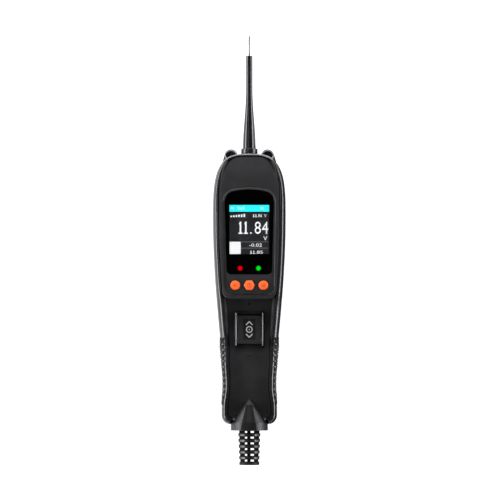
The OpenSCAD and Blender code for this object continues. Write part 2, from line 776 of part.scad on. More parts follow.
// The cap's ends are round about the axle, so that the gap around it stays as it tilts
rocker_top = valley_z + 3;
dish_r = 60;
foot_w = 3.2;
foot_out = rocker_foot + foot_w / 2;
foot_len = (axle_z - power_top - rocker_switch_h - gap - foot_out * sin(rocker_tilt)) / cos(rocker_tilt);
module rocker_cap() {
    color("#303032") translate([0, rocker_y, axle_z]) rotate([90, 0, 90]) difference() {
        union() {
            translate([0, 0, -rocker_w / 2]) linear_extrude(rocker_w) difference() {
                intersection() {
                    circle(rocker_r, $fn = 96);
                    translate([-rocker_r, -1.6]) square([2 * rocker_r, rocker_top - axle_z + 1.6]);
                }
                translate([0, rocker_top - axle_z + dish_r - 0.9]) circle(dish_r, $fn = 180);
            }
            for (m = [-1, 1])
                translate([m * rocker_foot - foot_w / 2, -foot_len, -2]) cube([foot_w, foot_len, 4]);
        }
        cylinder(d = axle_d + 2 * running_gap, h = 2 * bezel_w, center = true);
    }
}

module rocker_axle() {
    color("#b8b8bc") translate([0, rocker_y, axle_z]) rotate([0, 90, 0])
        cylinder(d = axle_d, h = axle_len, center = true);
}

// Probe
sleeve_tip_y = tip_y - needle_out;
collar_y = head_y + 0.3;
sleeve_y = collar_y + collar_len;
needle_root_y = sleeve_y + 6;
point_len = 3;
socket_d = 8.2;
socket_y1 = head_y - 6;
socket_y0 = socket_y1 - plug_len;
module probe_needle() {
    color("#c4c4c8") turned([[0, needle_root_y], [needle_d / 2, needle_root_y],
        [needle_d / 2, tip_y - point_len], [0.1, tip_y - 0.1], [0, tip_y]]);
}

flare_steps = 10;
sleeve_end_round = 0.3;
function flare_r(t) = sleeve_root_d / 2 - (sleeve_root_d - sleeve_d) / 2 * ease(t);
module probe_sleeve() {
    flare = [for (i = [0:flare_steps]) [flare_r(i / flare_steps), sleeve_y + flare_len * i / flare_steps]];
    color("#242426") turned(concat([[0, sleeve_y]], flare,
        [[sleeve_d / 2, sleeve_tip_y - sleeve_end_round], [sleeve_d / 2 - sleeve_end_round, sleeve_tip_y],
         [needle_d / 2, sleeve_tip_y], [needle_d / 2, needle_root_y], [0, needle_root_y]]));
}

module probe_collar() {
    color("#1a1a1c") turned([[0, collar_y], [collar_d / 2 - 0.4, collar_y], [collar_d / 2, collar_y + 0.4],
        [collar_d / 2, sleeve_y - 0.5], [collar_d / 2 - 0.5, sleeve_y], [0, sleeve_y]]);
}

module probe_plug() {
    color("#c9a24a") turned([[0, collar_y - plug_len], [plug_d / 2 - 0.8, collar_y - plug_len],
        [plug_d / 2, collar_y - plug_len + 1], [plug_d / 2, collar_y], [0, collar_y]]);
}

module probe_socket() {
    color("#b9b9bd") union() {
        difference() {
            turned([[0, socket_y0], [socket_d / 2, socket_y0], [socket_d / 2, socket_y1], [0, socket_y1]]);
            along(collar_y - plug_len - 1, head_y, plug_d + 2 * running_gap);
        }
        block(3, 4, power_top + 0.1, seam_z, socket_y0 - 1);
        block(3, 3, seam_z - 2, seam_z, socket_y0 + 0.2);
    }
}

// Work lamps: a tube with a sloping mouth, whose lower lip reaches furthest
hood_len = 10.4;
hood_floor = 2;
hood_x = hood_gap / 2;
hood_z = seam_z + 3.5;
hood_lip = hood_d / 2 * tan(hood_cut);
hood_y = head_y + hood_reach - hood_lip * cos(hood_tilt) - hood_d / 2 * sin(hood_tilt);
hood_bore_d = hood_d - 2 * hood_wall;
skirt_len = 6.5;
module hood_axis(m) {
    translate([m * hood_x, hood_y, hood_z]) rotate([hood_tilt - 90, 0, 0]) children();
}

module hood_bore(m) {
    hood_axis(m) translate([0, 0, -hood_len - gap]) cylinder(d = hood_d + 2 * gap, h = 2 * hood_len);
}

// Casing's outline in plan, grown by the gap
module casing_plan() {
    side = ring_xy(-gap, 0);
    polygon(concat(side, [for (i = [len(side) - 1:-1:0]) [-side[i][0], side[i][1]]]));
}

// Skirt outside the casing, which widens from the hood towards the casing's side
module hood_skirt(m) {
    difference() {
        hood_axis(m) translate([0, 0, -skirt_len])
            cylinder(d1 = hood_d + 2 * skirt_len * tan(skirt_flare), d2 = hood_d, h = skirt_len);
        linear_extrude(head_z) casing_plan();
    }
}

module lamp_hood(m) {
    color("#1c1c1e") difference() {
        union() {
            hood_axis(m) translate([0, 0, -hood_len]) cylinder(d = hood_d, h = hood_len + hood_lip);
            hood_skirt(m);
        }
        hood_axis(m) {
            translate([0, 0, -hood_len + hood_floor]) cylinder(d = hood_bore_d, h = 2 * hood_len);
            translate([0, 0, -hood_len - 1]) cylinder(d = led_d + 0.2, h = hood_floor + 2);
            rotate([hood_cut, 0, 0]) translate([-hood_d, -hood_d, 0]) cube(2 * hood_d);
        }
    }
}

module left_lamp_hood() {
    lamp_hood(-1);
}

module right_lamp_hood() {
    lamp_hood(1);
}

// The lens sits just behind the highest point of the mouth
lamp_lens_t = 1.2;
lamp_lens_z = -hood_bore_d / 2 * tan(hood_cut) - 0.4 - lamp_lens_t;
module lamp_lens(m) {
    color("#dfe6ee") hood_axis(m) translate([0, 0, lamp_lens_z]) cylinder(d = hood_bore_d, h = lamp_lens_t);
}

module left_lamp_lens() {
    lamp_lens(-1);
}

module right_lamp_lens() {
    lamp_lens(1);
}

led_d = 5;
led_body_h = 2.7;
module lamp_led(m) {
    color("#f4f4ea") hood_axis(m) translate([0, 0, -hood_len]) union() {
        translate([0, 0, 0.5]) cylinder(d = led_d, h = led_body_h);
        translate([0, 0, 0.5 + led_body_h]) sphere(d = led_d);
        translate([0, 0, hood_floor]) cylinder(d = led_d + 0.8, h = 1);
    }
}

module left_lamp_led() {
    lamp_led(-1);
}

module right_lamp_led() {
    lamp_led(1);
}

// Cable boot: ribs and grooves, with a narrow and a wide slot through each groove beside a web.
// Each slot is its middle and its width across the boot.
boot_slots = [[-2.3, 1.5], [2.1, 2.3]];
boot_slot_h = 1.6;
groove_w = 2.1;
groove_in = 0.7;
boot_end_round = 0.3;
function boot_r(y) = boot_end_d / 2 + (boot_d - boot_end_d) / 2 * (y - boot_end_y) / boot_len;
boot_row_y = boss_y - 1.2;
function groove(i) = let (y = boot_row_y - i * boot_pitch)
    [[boot_r(y) , y + groove_w / 2], [boot_r(y) - groove_in, y + groove_w / 2 - 0.2],
     [boot_r(y) - groove_in, y - groove_w / 2 + 0.2], [boot_r(y), y - groove_w / 2]];
module cable_boot() {
    color("#202022") difference() {
        turned(concat([[cable_d / 2, boot_root_y], [boot_d / 2, boot_root_y],
            [boot_d / 2, boot_flange_y + boot_flange_t], [boot_flange_d / 2, boot_flange_y + boot_flange_t],
            [boot_flange_d / 2, boot_flange_y], [boot_d / 2, boot_flange_y]],
            [for (i = [0:boot_rows - 1]) each groove(i)],
            [[boot_end_d / 2, boot_end_y + boot_end_round], [boot_end_d / 2 - boot_end_round, boot_end_y],
             [cable_d / 2, boot_end_y]]));
        for (i = [0:boot_rows - 1], s = boot_slots)
            block(s[1], boot_slot_h, seam_z - boot_d, seam_z + boot_d, boot_row_y - i * boot_pitch, s[0]);
    }
}

module case_screws() {
    color("#707074") for (s = case_screws, m = [-1, 1])
        translate([m * s[0], s[1], screw_pocket(s)]) difference() {
            union() {
                cylinder(d = screw_d - 0.4, h = seam_z + 6 - screw_pocket(s));
                translate([0, 0, -1.8]) cylinder(d = screw_head_d, h = 1.8);
            }
            translate([0, 0, -2]) cylinder(d = 2.2, h = 1.2, $fn = 6);
        }
}

front_cover();
rear_shell();
left_side_grip();
right_side_grip();
display_lens();
lens_frame();
lcd_module();
lcd_glass();
indicator_red();
indicator_green();
button_left();
button_centre();
button_right();
key_switches();
display_board();
display_board_screws();
controller_chip();
link_header();
power_board();
power_board_screws();
rocker_switches();
power_relays();
buzzer();
capacitor();
wire_terminal();
rocker_bezel();
rocker_cap();
rocker_axle();
probe_needle();
probe_sleeve();
probe_collar();
probe_plug();
probe_socket();
left_lamp_hood();
right_lamp_hood();
left_lamp_lens();
right_lamp_lens();
left_lamp_led();
right_lamp_led();
cable_boot();
case_screws();
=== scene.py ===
# %% [markdown]
# # A handheld circuit tester
#
# The tester lies on its back on a pale table. Its solids come from CAD, and this lesson gives them their looks:
# finer shells, studs on the grips, a lit screen, soft buttons, and a material for every surface.

# %% Load the solids
import json
import math

import bmesh
import bpy
from mathutils import Matrix, Vector
from mathutils.bvhtree import BVHTree


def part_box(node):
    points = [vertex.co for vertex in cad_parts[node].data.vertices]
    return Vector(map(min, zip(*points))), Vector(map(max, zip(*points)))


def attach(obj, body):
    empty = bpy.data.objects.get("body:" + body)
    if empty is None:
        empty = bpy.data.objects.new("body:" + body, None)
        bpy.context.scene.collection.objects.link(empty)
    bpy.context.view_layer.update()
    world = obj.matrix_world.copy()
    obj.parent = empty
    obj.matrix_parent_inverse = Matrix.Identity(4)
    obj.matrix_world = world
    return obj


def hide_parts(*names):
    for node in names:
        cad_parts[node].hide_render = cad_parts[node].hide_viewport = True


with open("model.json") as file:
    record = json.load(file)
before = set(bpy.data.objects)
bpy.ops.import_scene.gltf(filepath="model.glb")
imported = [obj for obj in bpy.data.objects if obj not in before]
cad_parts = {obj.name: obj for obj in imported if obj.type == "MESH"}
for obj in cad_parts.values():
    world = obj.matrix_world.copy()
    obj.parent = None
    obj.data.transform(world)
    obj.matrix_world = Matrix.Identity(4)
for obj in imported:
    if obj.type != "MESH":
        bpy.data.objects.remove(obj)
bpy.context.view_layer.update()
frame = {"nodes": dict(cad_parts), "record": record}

MM = 0.001


def move(bm, verts, way):
    bmesh.ops.translate(bm, verts=verts, vec=way)


def resize(bm, verts, factors):
    bmesh.ops.scale(bm, verts=verts, vec=factors)


def rotate(bm, verts, matrix, about=(0, 0, 0)):
    bmesh.ops.rotate(bm, verts=verts, cent=about, matrix=matrix)


# %% [markdown]
# ## The camera
#
# The photograph looks straight down on the tester from well above it, so nothing on it leans.
# A long lens far away gives that flat look. The lens is worked out from the width of table that the picture
# shows, so a change of distance needs no new number.

# %% Camera
CAMERA_HEIGHT, FACE_HEIGHT, SHOWN_WIDTH = 5, 0.025, 0.3557  # metres
AIM_X, AIM_Y = 0.0005, 0.00014
camera_data = bpy.data.cameras.new("camera")
camera_data.lens = camera_data.sensor_width * CAMERA_HEIGHT / SHOWN_WIDTH
camera = bpy.data.objects.new("camera", camera_data)
camera.location = (AIM_X, AIM_Y, CAMERA_HEIGHT + FACE_HEIGHT)
bpy.context.scene.collection.objects.link(camera)
bpy.context.scene.camera = camera
print("lens in mm:", round(camera_data.lens, 1))

# %% [markdown]
# ## The table and the dark cards
#
# Black plastic shows its shape only by what it mirrors, so a studio hangs cards round it. A wide dark ceiling
# keeps the flat front black, and a dark card on the right darkens that edge. The camera sees neither. The table
# is mid grey and glows for camera, mirror and lens rays alone: white paper that keeps the tester's shadow.

# %% Helpers for materials
def new_material(name):
    material = bpy.data.materials.new(name)
    material.use_nodes = True
    return material, material.node_tree


def set_inputs(node, values):
    """Sets inputs by their names, which have _ for a space here."""
    for name, value in values.items():
        node.inputs[name.replace("_", " ")].default_value = value
    return node


def add_node(tree, kind, operation=None, **values):
    node = tree.nodes.new("ShaderNode" + kind)
    if operation:
        node.operation = operation
    return set_inputs(node, values)


def seen_by_eye_and_mirror(tree):
    """1 for camera, glossy and transmission rays, else 0."""
    path = add_node(tree, "LightPath")
    total = path.outputs["Is Camera Ray"]
    for ray in ("Is Glossy Ray", "Is Transmission Ray"):
        larger = add_node(tree, "Math", "MAXIMUM")
        tree.links.new(total, larger.inputs[0])
        tree.links.new(path.outputs[ray], larger.inputs[1])
        total = larger.outputs[0]
    return total


# %% The finish of the table and of the cards
TABLE_GREY, TABLE_GLOW, CARD_BLACK = 0.5, 0.8, 0.01


def table_material():
    material, tree = new_material("white_table")
    tree.nodes.clear()
    paper = add_node(tree, "BsdfDiffuse", Color=(TABLE_GREY, TABLE_GREY, TABLE_GREY, 1))
    glow = add_node(tree, "Emission")
    scale = add_node(tree, "Math", "MULTIPLY")
    scale.inputs[1].default_value = TABLE_GLOW
    tree.links.new(seen_by_eye_and_mirror(tree), scale.inputs[0])
    tree.links.new(scale.outputs[0], glow.inputs["Strength"])
    both = add_node(tree, "AddShader")
    tree.links.new(paper.outputs[0], both.inputs[0])
    tree.links.new(glow.outputs[0], both.inputs[1])
    tree.links.new(both.outputs[0], add_node(tree, "OutputMaterial").inputs["Surface"])
    return material


black_card, card_tree = new_material("black_card")
set_inputs(card_tree.nodes["Principled BSDF"],
           {"Base Color": (CARD_BLACK, CARD_BLACK, CARD_BLACK, 1), "Roughness": 0.9})
print("card level:", CARD_BLACK, "table level:", TABLE_GREY)


# %% Put them in place
def object_from(name, bm, materials):
    mesh = bpy.data.meshes.new(name)
    bm.to_mesh(mesh)
    bm.free()
    for material in materials:
        mesh.materials.append(material)
    made = bpy.data.objects.new(name, mesh)
    bpy.context.scene.collection.objects.link(made)
    return made


def stage_plane(name, low, high, z, material, looks_down=False):
    """A flat sheet between two corners in plan, in metres."""
    bm = bmesh.new()
    bmesh.ops.create_grid(bm, x_segments=1, y_segments=1, size=0.5)
    if looks_down:
        bmesh.ops.reverse_faces(bm, faces=bm.faces)
    resize(bm, bm.verts, (high[0] - low[0], high[1] - low[1], 1))
    move(bm, bm.verts, ((low[0] + high[0]) / 2, (low[1] + high[1]) / 2, z))
    plane = object_from(name, bm, [material])
    return plane


stage_plane("table", (-3, -3), (3, 3), z=-0.0002, material=table_material())
ceiling = stage_plane("dark_ceiling", (-2.2, -2.2), (2.2, 2.2), z=1.3, material=black_card, looks_down=True)
ceiling.visible_camera = False
side_card = stage_plane("dark_side_card", (0.008, -0.17), (0.6, 0.075), z=-0.0001, material=black_card)
for kind in ("camera", "diffuse", "shadow", "transmission"):
    setattr(side_card, "visible_" + kind, False)
print("cards:", ceiling.name, side_card.name)

# %% [markdown]
# ## World and lamps
#
# The world is white for eye and mirror, and gives a weak fill. Four soft lamps do the rest: a long low one on
# the left draws the pale lines along grips and probe, a weaker one on the right answers it, one softens the
# shade from above, and one past the head lights the arch.

# %% World
WORLD_FILL = 0.15


def map_range(tree, source, **limits):
    node = add_node(tree, "MapRange", **limits)
    tree.links.new(source, node.inputs["Value"])
    return node.outputs["Result"]


world = bpy.data.worlds.new("studio")
world.use_nodes = True
bpy.context.scene.world = world
world_tree = world.node_tree
background = set_inputs(world_tree.nodes["Background"], {"Color": (1, 1, 1, 1)})
level = map_range(world_tree, seen_by_eye_and_mirror(world_tree), To_Min=WORLD_FILL, To_Max=1.0)
world_tree.links.new(level, background.inputs["Strength"])
bpy.context.scene.view_settings.view_transform = "Standard"
print("fill:", WORLD_FILL)

# %% Lamps
LAMP_COLOUR, LAMP_AIM = (0.97, 0.96, 1.0), Vector((0, 0, 0.02))
LAMPS = (  # name, place, long side, short side, watts
    ("left_low", (-0.62, 0, 0.25), 1.1, 0.17, 8.6),
    ("above", (-0.4, 0, 1.0), 1.0, 0.1, 1.2),
    ("right_low", (0.65, 0, 0.25), 0.9, 0.15, 6.4),
    ("past_head", (0, 0.8, 0.46), 0.5, 0.09, 6.5),
)
for name, place, long_side, short_side, watts in LAMPS:
    lamp_data = bpy.data.lights.new(name, "AREA")
    lamp_data.shape = "RECTANGLE"
    lamp_data.size, lamp_data.size_y = long_side, short_side
    lamp_data.energy = watts
    lamp_data.color = LAMP_COLOUR
    lamp = bpy.data.objects.new(name, lamp_data)
    lamp.location = place
    lamp.rotation_euler = (LAMP_AIM - Vector(place)).to_track_quat("-Z", "Y").to_euler()
    lamp.visible_camera = False
    bpy.context.scene.collection.objects.link(lamp)
print("lamps:", [lamp[0] for lamp in LAMPS])

# %% [markdown]
# ## Finishes
#
# One recipe makes every finish. Clouds of noise vary the colour and the roughness a little, and a much finer
# noise gives the grain by a bump. The patterns read Object coordinates, so they stay with the piece. Scales are
# in millimetres, which are easier to judge against the real thing.

# %% The recipe for a finish
def colour_ramp(tree, source, low, high, places=(0.0, 1.0)):
    ramp = add_node(tree, "ValToRGB")
    for stop, place, colour in zip(ramp.color_ramp.elements, places, (low, high)):
        stop.position = place
        stop.color = (*colour, 1)
    tree.links.new(source, ramp.inputs["Fac"])
    return ramp.outputs["Color"]


def finish(name, dark, light, rough, grain, depth, cloud=9, stretch=(1, 1, 1), **shader_values):
    """dark and light: linear colours; rough: (low, high); grain, depth and cloud in mm."""
    material, tree = new_material(name)
    shader = set_inputs(tree.nodes["Principled BSDF"], shader_values)
    mapping = add_node(tree, "Mapping", Scale=stretch)
    tree.links.new(add_node(tree, "TexCoord").outputs["Object"], mapping.inputs["Vector"])

    clouds = add_node(tree, "TexNoise", Scale=1 / MM / cloud, Detail=3)
    tree.links.new(mapping.outputs["Vector"], clouds.inputs["Vector"])
    colour = colour_ramp(tree, clouds.outputs["Fac"], dark, light, (0.35, 0.65))
    tree.links.new(colour, shader.inputs["Base Color"])
    roughness = map_range(tree, clouds.outputs["Fac"], From_Min=0.3, From_Max=0.7,
                          To_Min=rough[0], To_Max=rough[1])
    tree.links.new(roughness, shader.inputs["Roughness"])

    grains = add_node(tree, "TexNoise", Scale=1 / MM / grain, Detail=2)
    tree.links.new(mapping.outputs["Vector"], grains.inputs["Vector"])
    bump = add_node(tree, "Bump", Distance=depth * MM)
    tree.links.new(grains.outputs["Fac"], bump.inputs["Height"])
    tree.links.new(bump.outputs["Normal"], shader.inputs["Normal"])
    return material


def shade(level, tint):
    """A near-grey linear colour, a little blue with a tint over 0."""
    return (level * (1 - tint), level * (1 - tint * 0.5), level * (1 + tint))


def near_grey(name, low, high, rough, grain, depth, tint=0.0, specular=0.5, **more):
    return finish(name, shade(low, tint), shade(high, tint), rough, grain, depth,
                  Specular_IOR_Level=specular, **more)


# %% [markdown]
# The casing is matt black ABS with a fine grain, the grips are satin rubber, the small mouldings smoother and
# the sleeve glossy. Orange silicone has some light inside it.

# %% The finishes, one for each slot of the record
FINISHES = {
    "matt_cover": near_grey("cover_abs", 0.0085, 0.0105, (0.44, 0.5), 0.35, 0.01, tint=0.03),
    "shell": near_grey("shell_abs", 0.009, 0.012, (0.3, 0.38), 0.35, 0.008, tint=0.03),
    "soft_grip": near_grey("grip_rubber", 0.008, 0.011, (0.2, 0.26), 0.25, 0.004, tint=0.05),
    "lens": finish("clear_lens", (0.9, 0.92, 0.94), (1, 1, 1), (0.02, 0.035), 6, 0.0004, cloud=30,
                   Transmission_Weight=1.0, IOR=1.45),
    "black_frame": near_grey("bonding_film", 0.0012, 0.0016, (0.3, 0.4), 0.5, 0.002),
    "lcd_body": finish("screen_carrier", (0.6, 0.6, 0.58), (0.68, 0.68, 0.66), (0.4, 0.5), 0.4, 0.01),
    "lcd_screen": near_grey("screen_glass", 0.0025, 0.004, (0.12, 0.18), 0.3, 0.001),
    "red_light": finish("red_pipe", (0.12, 0.001, 0.0), (0.16, 0.002, 0.0), (0.2, 0.26), 1, 0.002,
                        Emission_Color=(1, 0.0, 0.0, 1)),
    "green_light": finish("green_pipe", (0.0, 0.12, 0.004), (0.0, 0.16, 0.006), (0.2, 0.26), 1, 0.002,
                          Emission_Color=(0, 1.0, 0.01, 1)),
    "button_orange": finish("orange_silicone", (0.88, 0.122, 0.012), (0.94, 0.145, 0.017), (0.5, 0.58),
                            0.3, 0.006, Subsurface_Weight=0.15, Subsurface_Scale=0.002),
    "part_black": near_grey("smooth_black", 0.007, 0.01, (0.2, 0.27), 0.3, 0.004, tint=0.03),
    "board_green": finish("solder_mask", (0.008, 0.07, 0.03), (0.012, 0.09, 0.04), (0.25, 0.35), 1.5, 0.02,
                          cloud=4),
    "component_blue": finish("blue_moulding", (0.02, 0.07, 0.22), (0.03, 0.09, 0.26), (0.3, 0.4), 0.5, 0.01),
    "component_dark": near_grey("dark_moulding", 0.01, 0.014, (0.4, 0.5), 0.3, 0.01),
    "terminal_green": finish("green_moulding", (0.02, 0.2, 0.05), (0.03, 0.24, 0.07), (0.35, 0.45), 0.5, 0.01),
    "screw_steel": finish("zinc_steel", (0.42, 0.42, 0.43), (0.55, 0.55, 0.57), (0.3, 0.42), 0.4, 0.01,
                          cloud=2, Metallic=1.0),
    "needle_steel": finish("ground_steel", (0.13, 0.13, 0.135), (0.18, 0.18, 0.185), (0.2, 0.3), 0.12, 0.003,
                           cloud=2, stretch=(1, 0.08, 1), Metallic=1.0),
    "plug_brass": finish("turned_brass", (0.62, 0.42, 0.14), (0.75, 0.52, 0.2), (0.2, 0.3), 0.2, 0.004,
                         cloud=2, stretch=(0.2, 3, 0.2), Metallic=1.0),
    "socket_metal": finish("nickel_tube", (0.5, 0.49, 0.46), (0.62, 0.6, 0.56), (0.2, 0.3), 0.3, 0.004,
                           cloud=3, Metallic=1.0),
    "sleeve_black": near_grey("glossy_sleeve", 0.006, 0.009, (0.14, 0.2), 0.6, 0.003, tint=0.04),
    "lamp_clear": finish("lamp_lens", (0.95, 0.97, 1.0), (1, 1, 1), (0.04, 0.08), 1.2, 0.01,
                         Transmission_Weight=1.0, IOR=1.49),
    "led_white": finish("led_epoxy", (0.85, 0.85, 0.78), (0.92, 0.92, 0.86), (0.1, 0.16), 1, 0.002),
    "boot_rubber": near_grey("boot_rubber", 0.004, 0.006, (0.5, 0.6), 0.3, 0.006, tint=0.02, specular=0.2),
}
print("finishes:", len(FINISHES))

# %% [markdown]
# The two dots are clear pipes that carry light up from the board, brightest over their lamps. A lamp in the
# scene could do it, but a glow that falls with the distance from the middle makes no noise.

# %% The glow of the two dots
DOT_CORE, DOT_EDGE = 1.2, 1.95  # mm from the middle, where the glow starts and stops to fade


def glow_in_the_middle(material, node_name):
    low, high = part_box(node_name)
    tree = material.node_tree
    flat = add_node(tree, "VectorMath", "MULTIPLY")
    flat.inputs[1].default_value = (1, 1, 0)
    tree.links.new(tree.nodes["Texture Coordinate"].outputs["Object"], flat.inputs[0])
    reach = add_node(tree, "VectorMath", "DISTANCE")
    reach.inputs[1].default_value = ((low.x + high.x) / 2, (low.y + high.y) / 2, 0)
    tree.links.new(flat.outputs[0], reach.inputs[0])
    fade = map_range(tree, reach.outputs["Value"], From_Min=DOT_CORE * MM, From_Max=DOT_EDGE * MM,
                     To_Min=0.75, To_Max=0.05)
    tree.links.new(fade, tree.nodes["Principled BSDF"].inputs["Emission Strength"])
    print(node_name, "is", round((high.x - low.x) / MM, 2), "mm across")


glow_in_the_middle(FINISHES["red_light"], "indicator_red")
glow_in_the_middle(FINISHES["green_light"], "indicator_green")

# %% Paint the solids
slot_of = {part["node"]: part["material_slot"] for part in frame["record"]["subparts"]}
for node_name, solid in frame["nodes"].items():
    if not solid.material_slots:
        solid.data.materials.append(None)
    for entry in solid.material_slots:
        entry.material = FINISHES[slot_of[node_name]]
print("solids painted:", len(slot_of))

# %% [markdown]
# ## From a bmesh to a piece
#
# Where a solid's shape is right, the piece is a merged copy, and weighted normals keep its flat faces flat.

# %% A new piece
MERGE = 0.002  # mm


def new_piece(name, bm, slot, materials=None, body="housing", stands_for=(), sharp=32, outwards=True):
    """sharp: degrees between two faces, from which their edge stays crisp."""
    bmesh.ops.remove_doubles(bm, verts=bm.verts, dist=MERGE)
    if outwards:
        bmesh.ops.recalc_face_normals(bm, faces=bm.faces)
    for face in bm.faces:
        face.smooth = True
    for edge in bm.edges:
        edge.smooth = edge.calc_face_angle(0) < math.radians(sharp)
    resize(bm, bm.verts, (MM, MM, MM))
    piece = object_from(name, bm, materials or [FINISHES[slot]])
    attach(piece, body)
    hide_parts(*stands_for)
    print(name, "faces:", len(piece.data.polygons))
    return piece


# %% A copy of a solid, and a piece made from it
def solid_copy(node_name):
    """A merged copy of a solid, in millimetres, with its flat faces made whole again."""
    bm = bmesh.new()
    bm.from_mesh(frame["nodes"][node_name].data)
    resize(bm, bm.verts, (1 / MM, 1 / MM, 1 / MM))
    bmesh.ops.remove_doubles(bm, verts=bm.verts, dist=MERGE)
    bmesh.ops.dissolve_limit(bm, angle_limit=math.radians(0.6), verts=bm.verts, edges=bm.edges)
    return bm


def piece_from_copy(name, bm, slot, node_name, **more):
    piece = new_piece(name, bm, slot, stands_for=[node_name], outwards=False, **more)
    piece.modifiers.new("even_shading", "WEIGHTED_NORMAL").keep_sharp = True


# %% [markdown]
# ## The shells
#
# Both shells keep their CAD shape, with openings, lip and sunken grip. The grip's inner walls are in deep shade
# on the real tester. Soft lamps can't leave so narrow a place dark, so that shade is painted on those faces as
# a darker colour.

# %% Shells
# painted shade: the grip's inner walls get a darker colour for the shade that falls there
WALL_PAINTED_SHADE = near_grey("valley_wall_painted_shade", 0.0015, 0.003, (0.55, 0.65), 0.35, 0.01, specular=0.08)
WALL_LOW_Y, WALL_TOP_Y, WALL_LOW_Z, WALL_TOP_Z = -125, -60, 19, 31.5
SIDE_WALL_X, TAIL_WALL_X, TAIL_WALL_Y, LEAN = 11.5, 11.3, -117, 0.15


def on_inner_wall(face):
    """Tells whether a face of the cover looks into the sunken grip, from a side or from its tail."""
    middle, normal = face.calc_center_median(), face.normal
    in_reach = WALL_LOW_Y < middle.y < WALL_TOP_Y and WALL_LOW_Z < middle.z < WALL_TOP_Z
    beside = abs(middle.x) > SIDE_WALL_X and normal.x * middle.x < -LEAN * abs(middle.x)
    behind = abs(middle.x) > TAIL_WALL_X and middle.y < TAIL_WALL_Y and normal.y > LEAN
    return in_reach and normal.z > -0.1 and (beside or behind)


cover_bm = solid_copy("front_cover")
cover_bm.normal_update()
walls = [face for face in cover_bm.faces if on_inner_wall(face)]
for face in walls:
    face.material_index = 1
print("faces of the grip's inner walls:", len(walls))
piece_from_copy("cover_shell", cover_bm, "matt_cover", "front_cover",
                materials=[FINISHES["matt_cover"], WALL_PAINTED_SHADE])
piece_from_copy("back_shell", solid_copy("rear_shell"), "shell", "rear_shell")

# %% [markdown]
# ## The side grips
#
# Each grip is a rubber strip. A curve with a bevel would keep one width, so it is a sweep: one section is drawn
# as a loop of edges and extruded along the casing's outline, and each new loop takes the size of its place.
# First comes the outline, in millimetres.

# %% The outline of the casing
HEAD_Y, WIDE_Y, LIP_Y, GRIP_Y, TAIL_Y = 68.5, 24.1, -34.8, -91.9, -123.9
SEAM_Z, VALLEY_Z, HEAD_Z, LENS_TOP_Y = 17.0, 26.0, 38.0, 42.9
WAIST, HEAD_SWELL, TAIL_SWELL = 18.2, 7.65, 1.5  # half the width, and how much it grows each way
HEAD_HALF, HEAD_LONG, TAIL_HALF, CORNER_R = 25.85, 44.4, 19.7, 6.5
RIM_STAND, RIM_SLIM, RIM_WIDE, RIM_HEAD = 5.0, 3.0, 1.5, 4.5  # the rubber's height and widths


def ease(t):
    """A smooth step from 0 to 1; with (y - start) / length it goes over that length in mm."""
    t = min(max(t, 0), 1)
    return t * t * (3 - 2 * t)


def half_width(y):
    if y >= GRIP_Y:
        turn = math.radians(90 * min((y - GRIP_Y) / (WIDE_Y - GRIP_Y), 1))
        return WAIST + HEAD_SWELL * math.sin(turn) ** 1.15
    return WAIST + TAIL_SWELL * ease((TAIL_Y + 25.92 - y) / 14.08)


def rim_width(y):
    return RIM_SLIM + RIM_WIDE * ease((y - GRIP_Y - 4) / 22)


# %% A point of the outline
def outline_point(kind, at, inset, rim):
    """A point of the outline, on the tail corner, the side or the head; rim 1 is the rubber's inner edge."""
    if kind == "corner":
        radius = max(CORNER_R - rim * 1.5 - inset, 0.5)
        x = TAIL_HALF - rim * RIM_SLIM - inset - radius
        y = TAIL_Y + rim * RIM_SLIM + inset + radius
        return Vector((x + radius * math.sin(at), y - radius * math.cos(at), 0))
    if kind == "side":
        return Vector((half_width(at) - rim * rim_width(at) - inset, at, 0))
    power = 2 / (3.25 + 0.55 * rim)
    return Vector(((HEAD_HALF - rim * RIM_HEAD - inset) * math.cos(at) ** power,
                   WIDE_Y + (HEAD_LONG - inset) * math.sin(at) ** power, 0))


# %% Heights along the casing
VALLEY_DROP, HEAD_DROP = 4, 2.4  # mm that the valley falls to its tail, and the head to its end


def valley_height(y):
    return VALLEY_Z - VALLEY_DROP * ease((TAIL_Y + 32 - y) / 26)


def head_height(y):
    return HEAD_Z - HEAD_DROP * min(max((y - LENS_TOP_Y - 4) / 21.6, 0), 1) ** 2


def rim_height(y):
    climb = head_height(min(y, HEAD_Y)) - 1.2 - valley_height(LIP_Y) - RIM_STAND
    return valley_height(y) + RIM_STAND + climb * ease((y - LIP_Y + 14) / 26)


print("half width at the waist and the head:", half_width(GRIP_Y), round(half_width(WIDE_Y), 2))

# %% [markdown]
# The studs are four-sided, in staggered rows. As separate pieces each would need a join to the curved strip, so
# they are in the section's own points, which move outwards over each stud.

# %% How far a point stands out on a stud
STUD_FIRST_Y, STUD_PITCH, STUD_ROWS, STUD_COLUMNS = TAIL_Y + 15, 4.0, 12, 7
STUD_COLUMN, STUD_WIDE, STUD_LONG, STUD_HEIGHT = 2.1, 1.5, 1.55, 1.1
STUD_FADE, STUD_LEAST = 9, 0.35  # the studs at both ends are lower, over so many mm


def stud_lift(y, along):
    """Height of the studs at a place along the grip (y) and down its section (along)."""
    row = round((y - STUD_FIRST_Y) / STUD_PITCH * 2)
    best = 0.0
    for near in (row - 1, row, row + 1):
        for column in range(1, STUD_COLUMNS + 1):
            if 0 <= near < 2 * STUD_ROWS and (near + column) % 2 == 0:
                reach = (abs(y - STUD_FIRST_Y - near * STUD_PITCH / 2) / STUD_LONG
                         + abs(along - column * STUD_COLUMN) / STUD_WIDE)
                best = max(best, 1 - reach)
    last_y = STUD_FIRST_Y + (STUD_ROWS - 0.5) * STUD_PITCH
    ends = min(1, STUD_LEAST + (y - STUD_FIRST_Y) / STUD_FADE, STUD_LEAST + (last_y - y) / STUD_FADE)
    return STUD_HEIGHT * min(1, best * 2.0) * max(ends, 0)


print("studs from y =", STUD_FIRST_Y, "to", round(STUD_FIRST_Y + (STUD_ROWS - 0.5) * STUD_PITCH, 1))

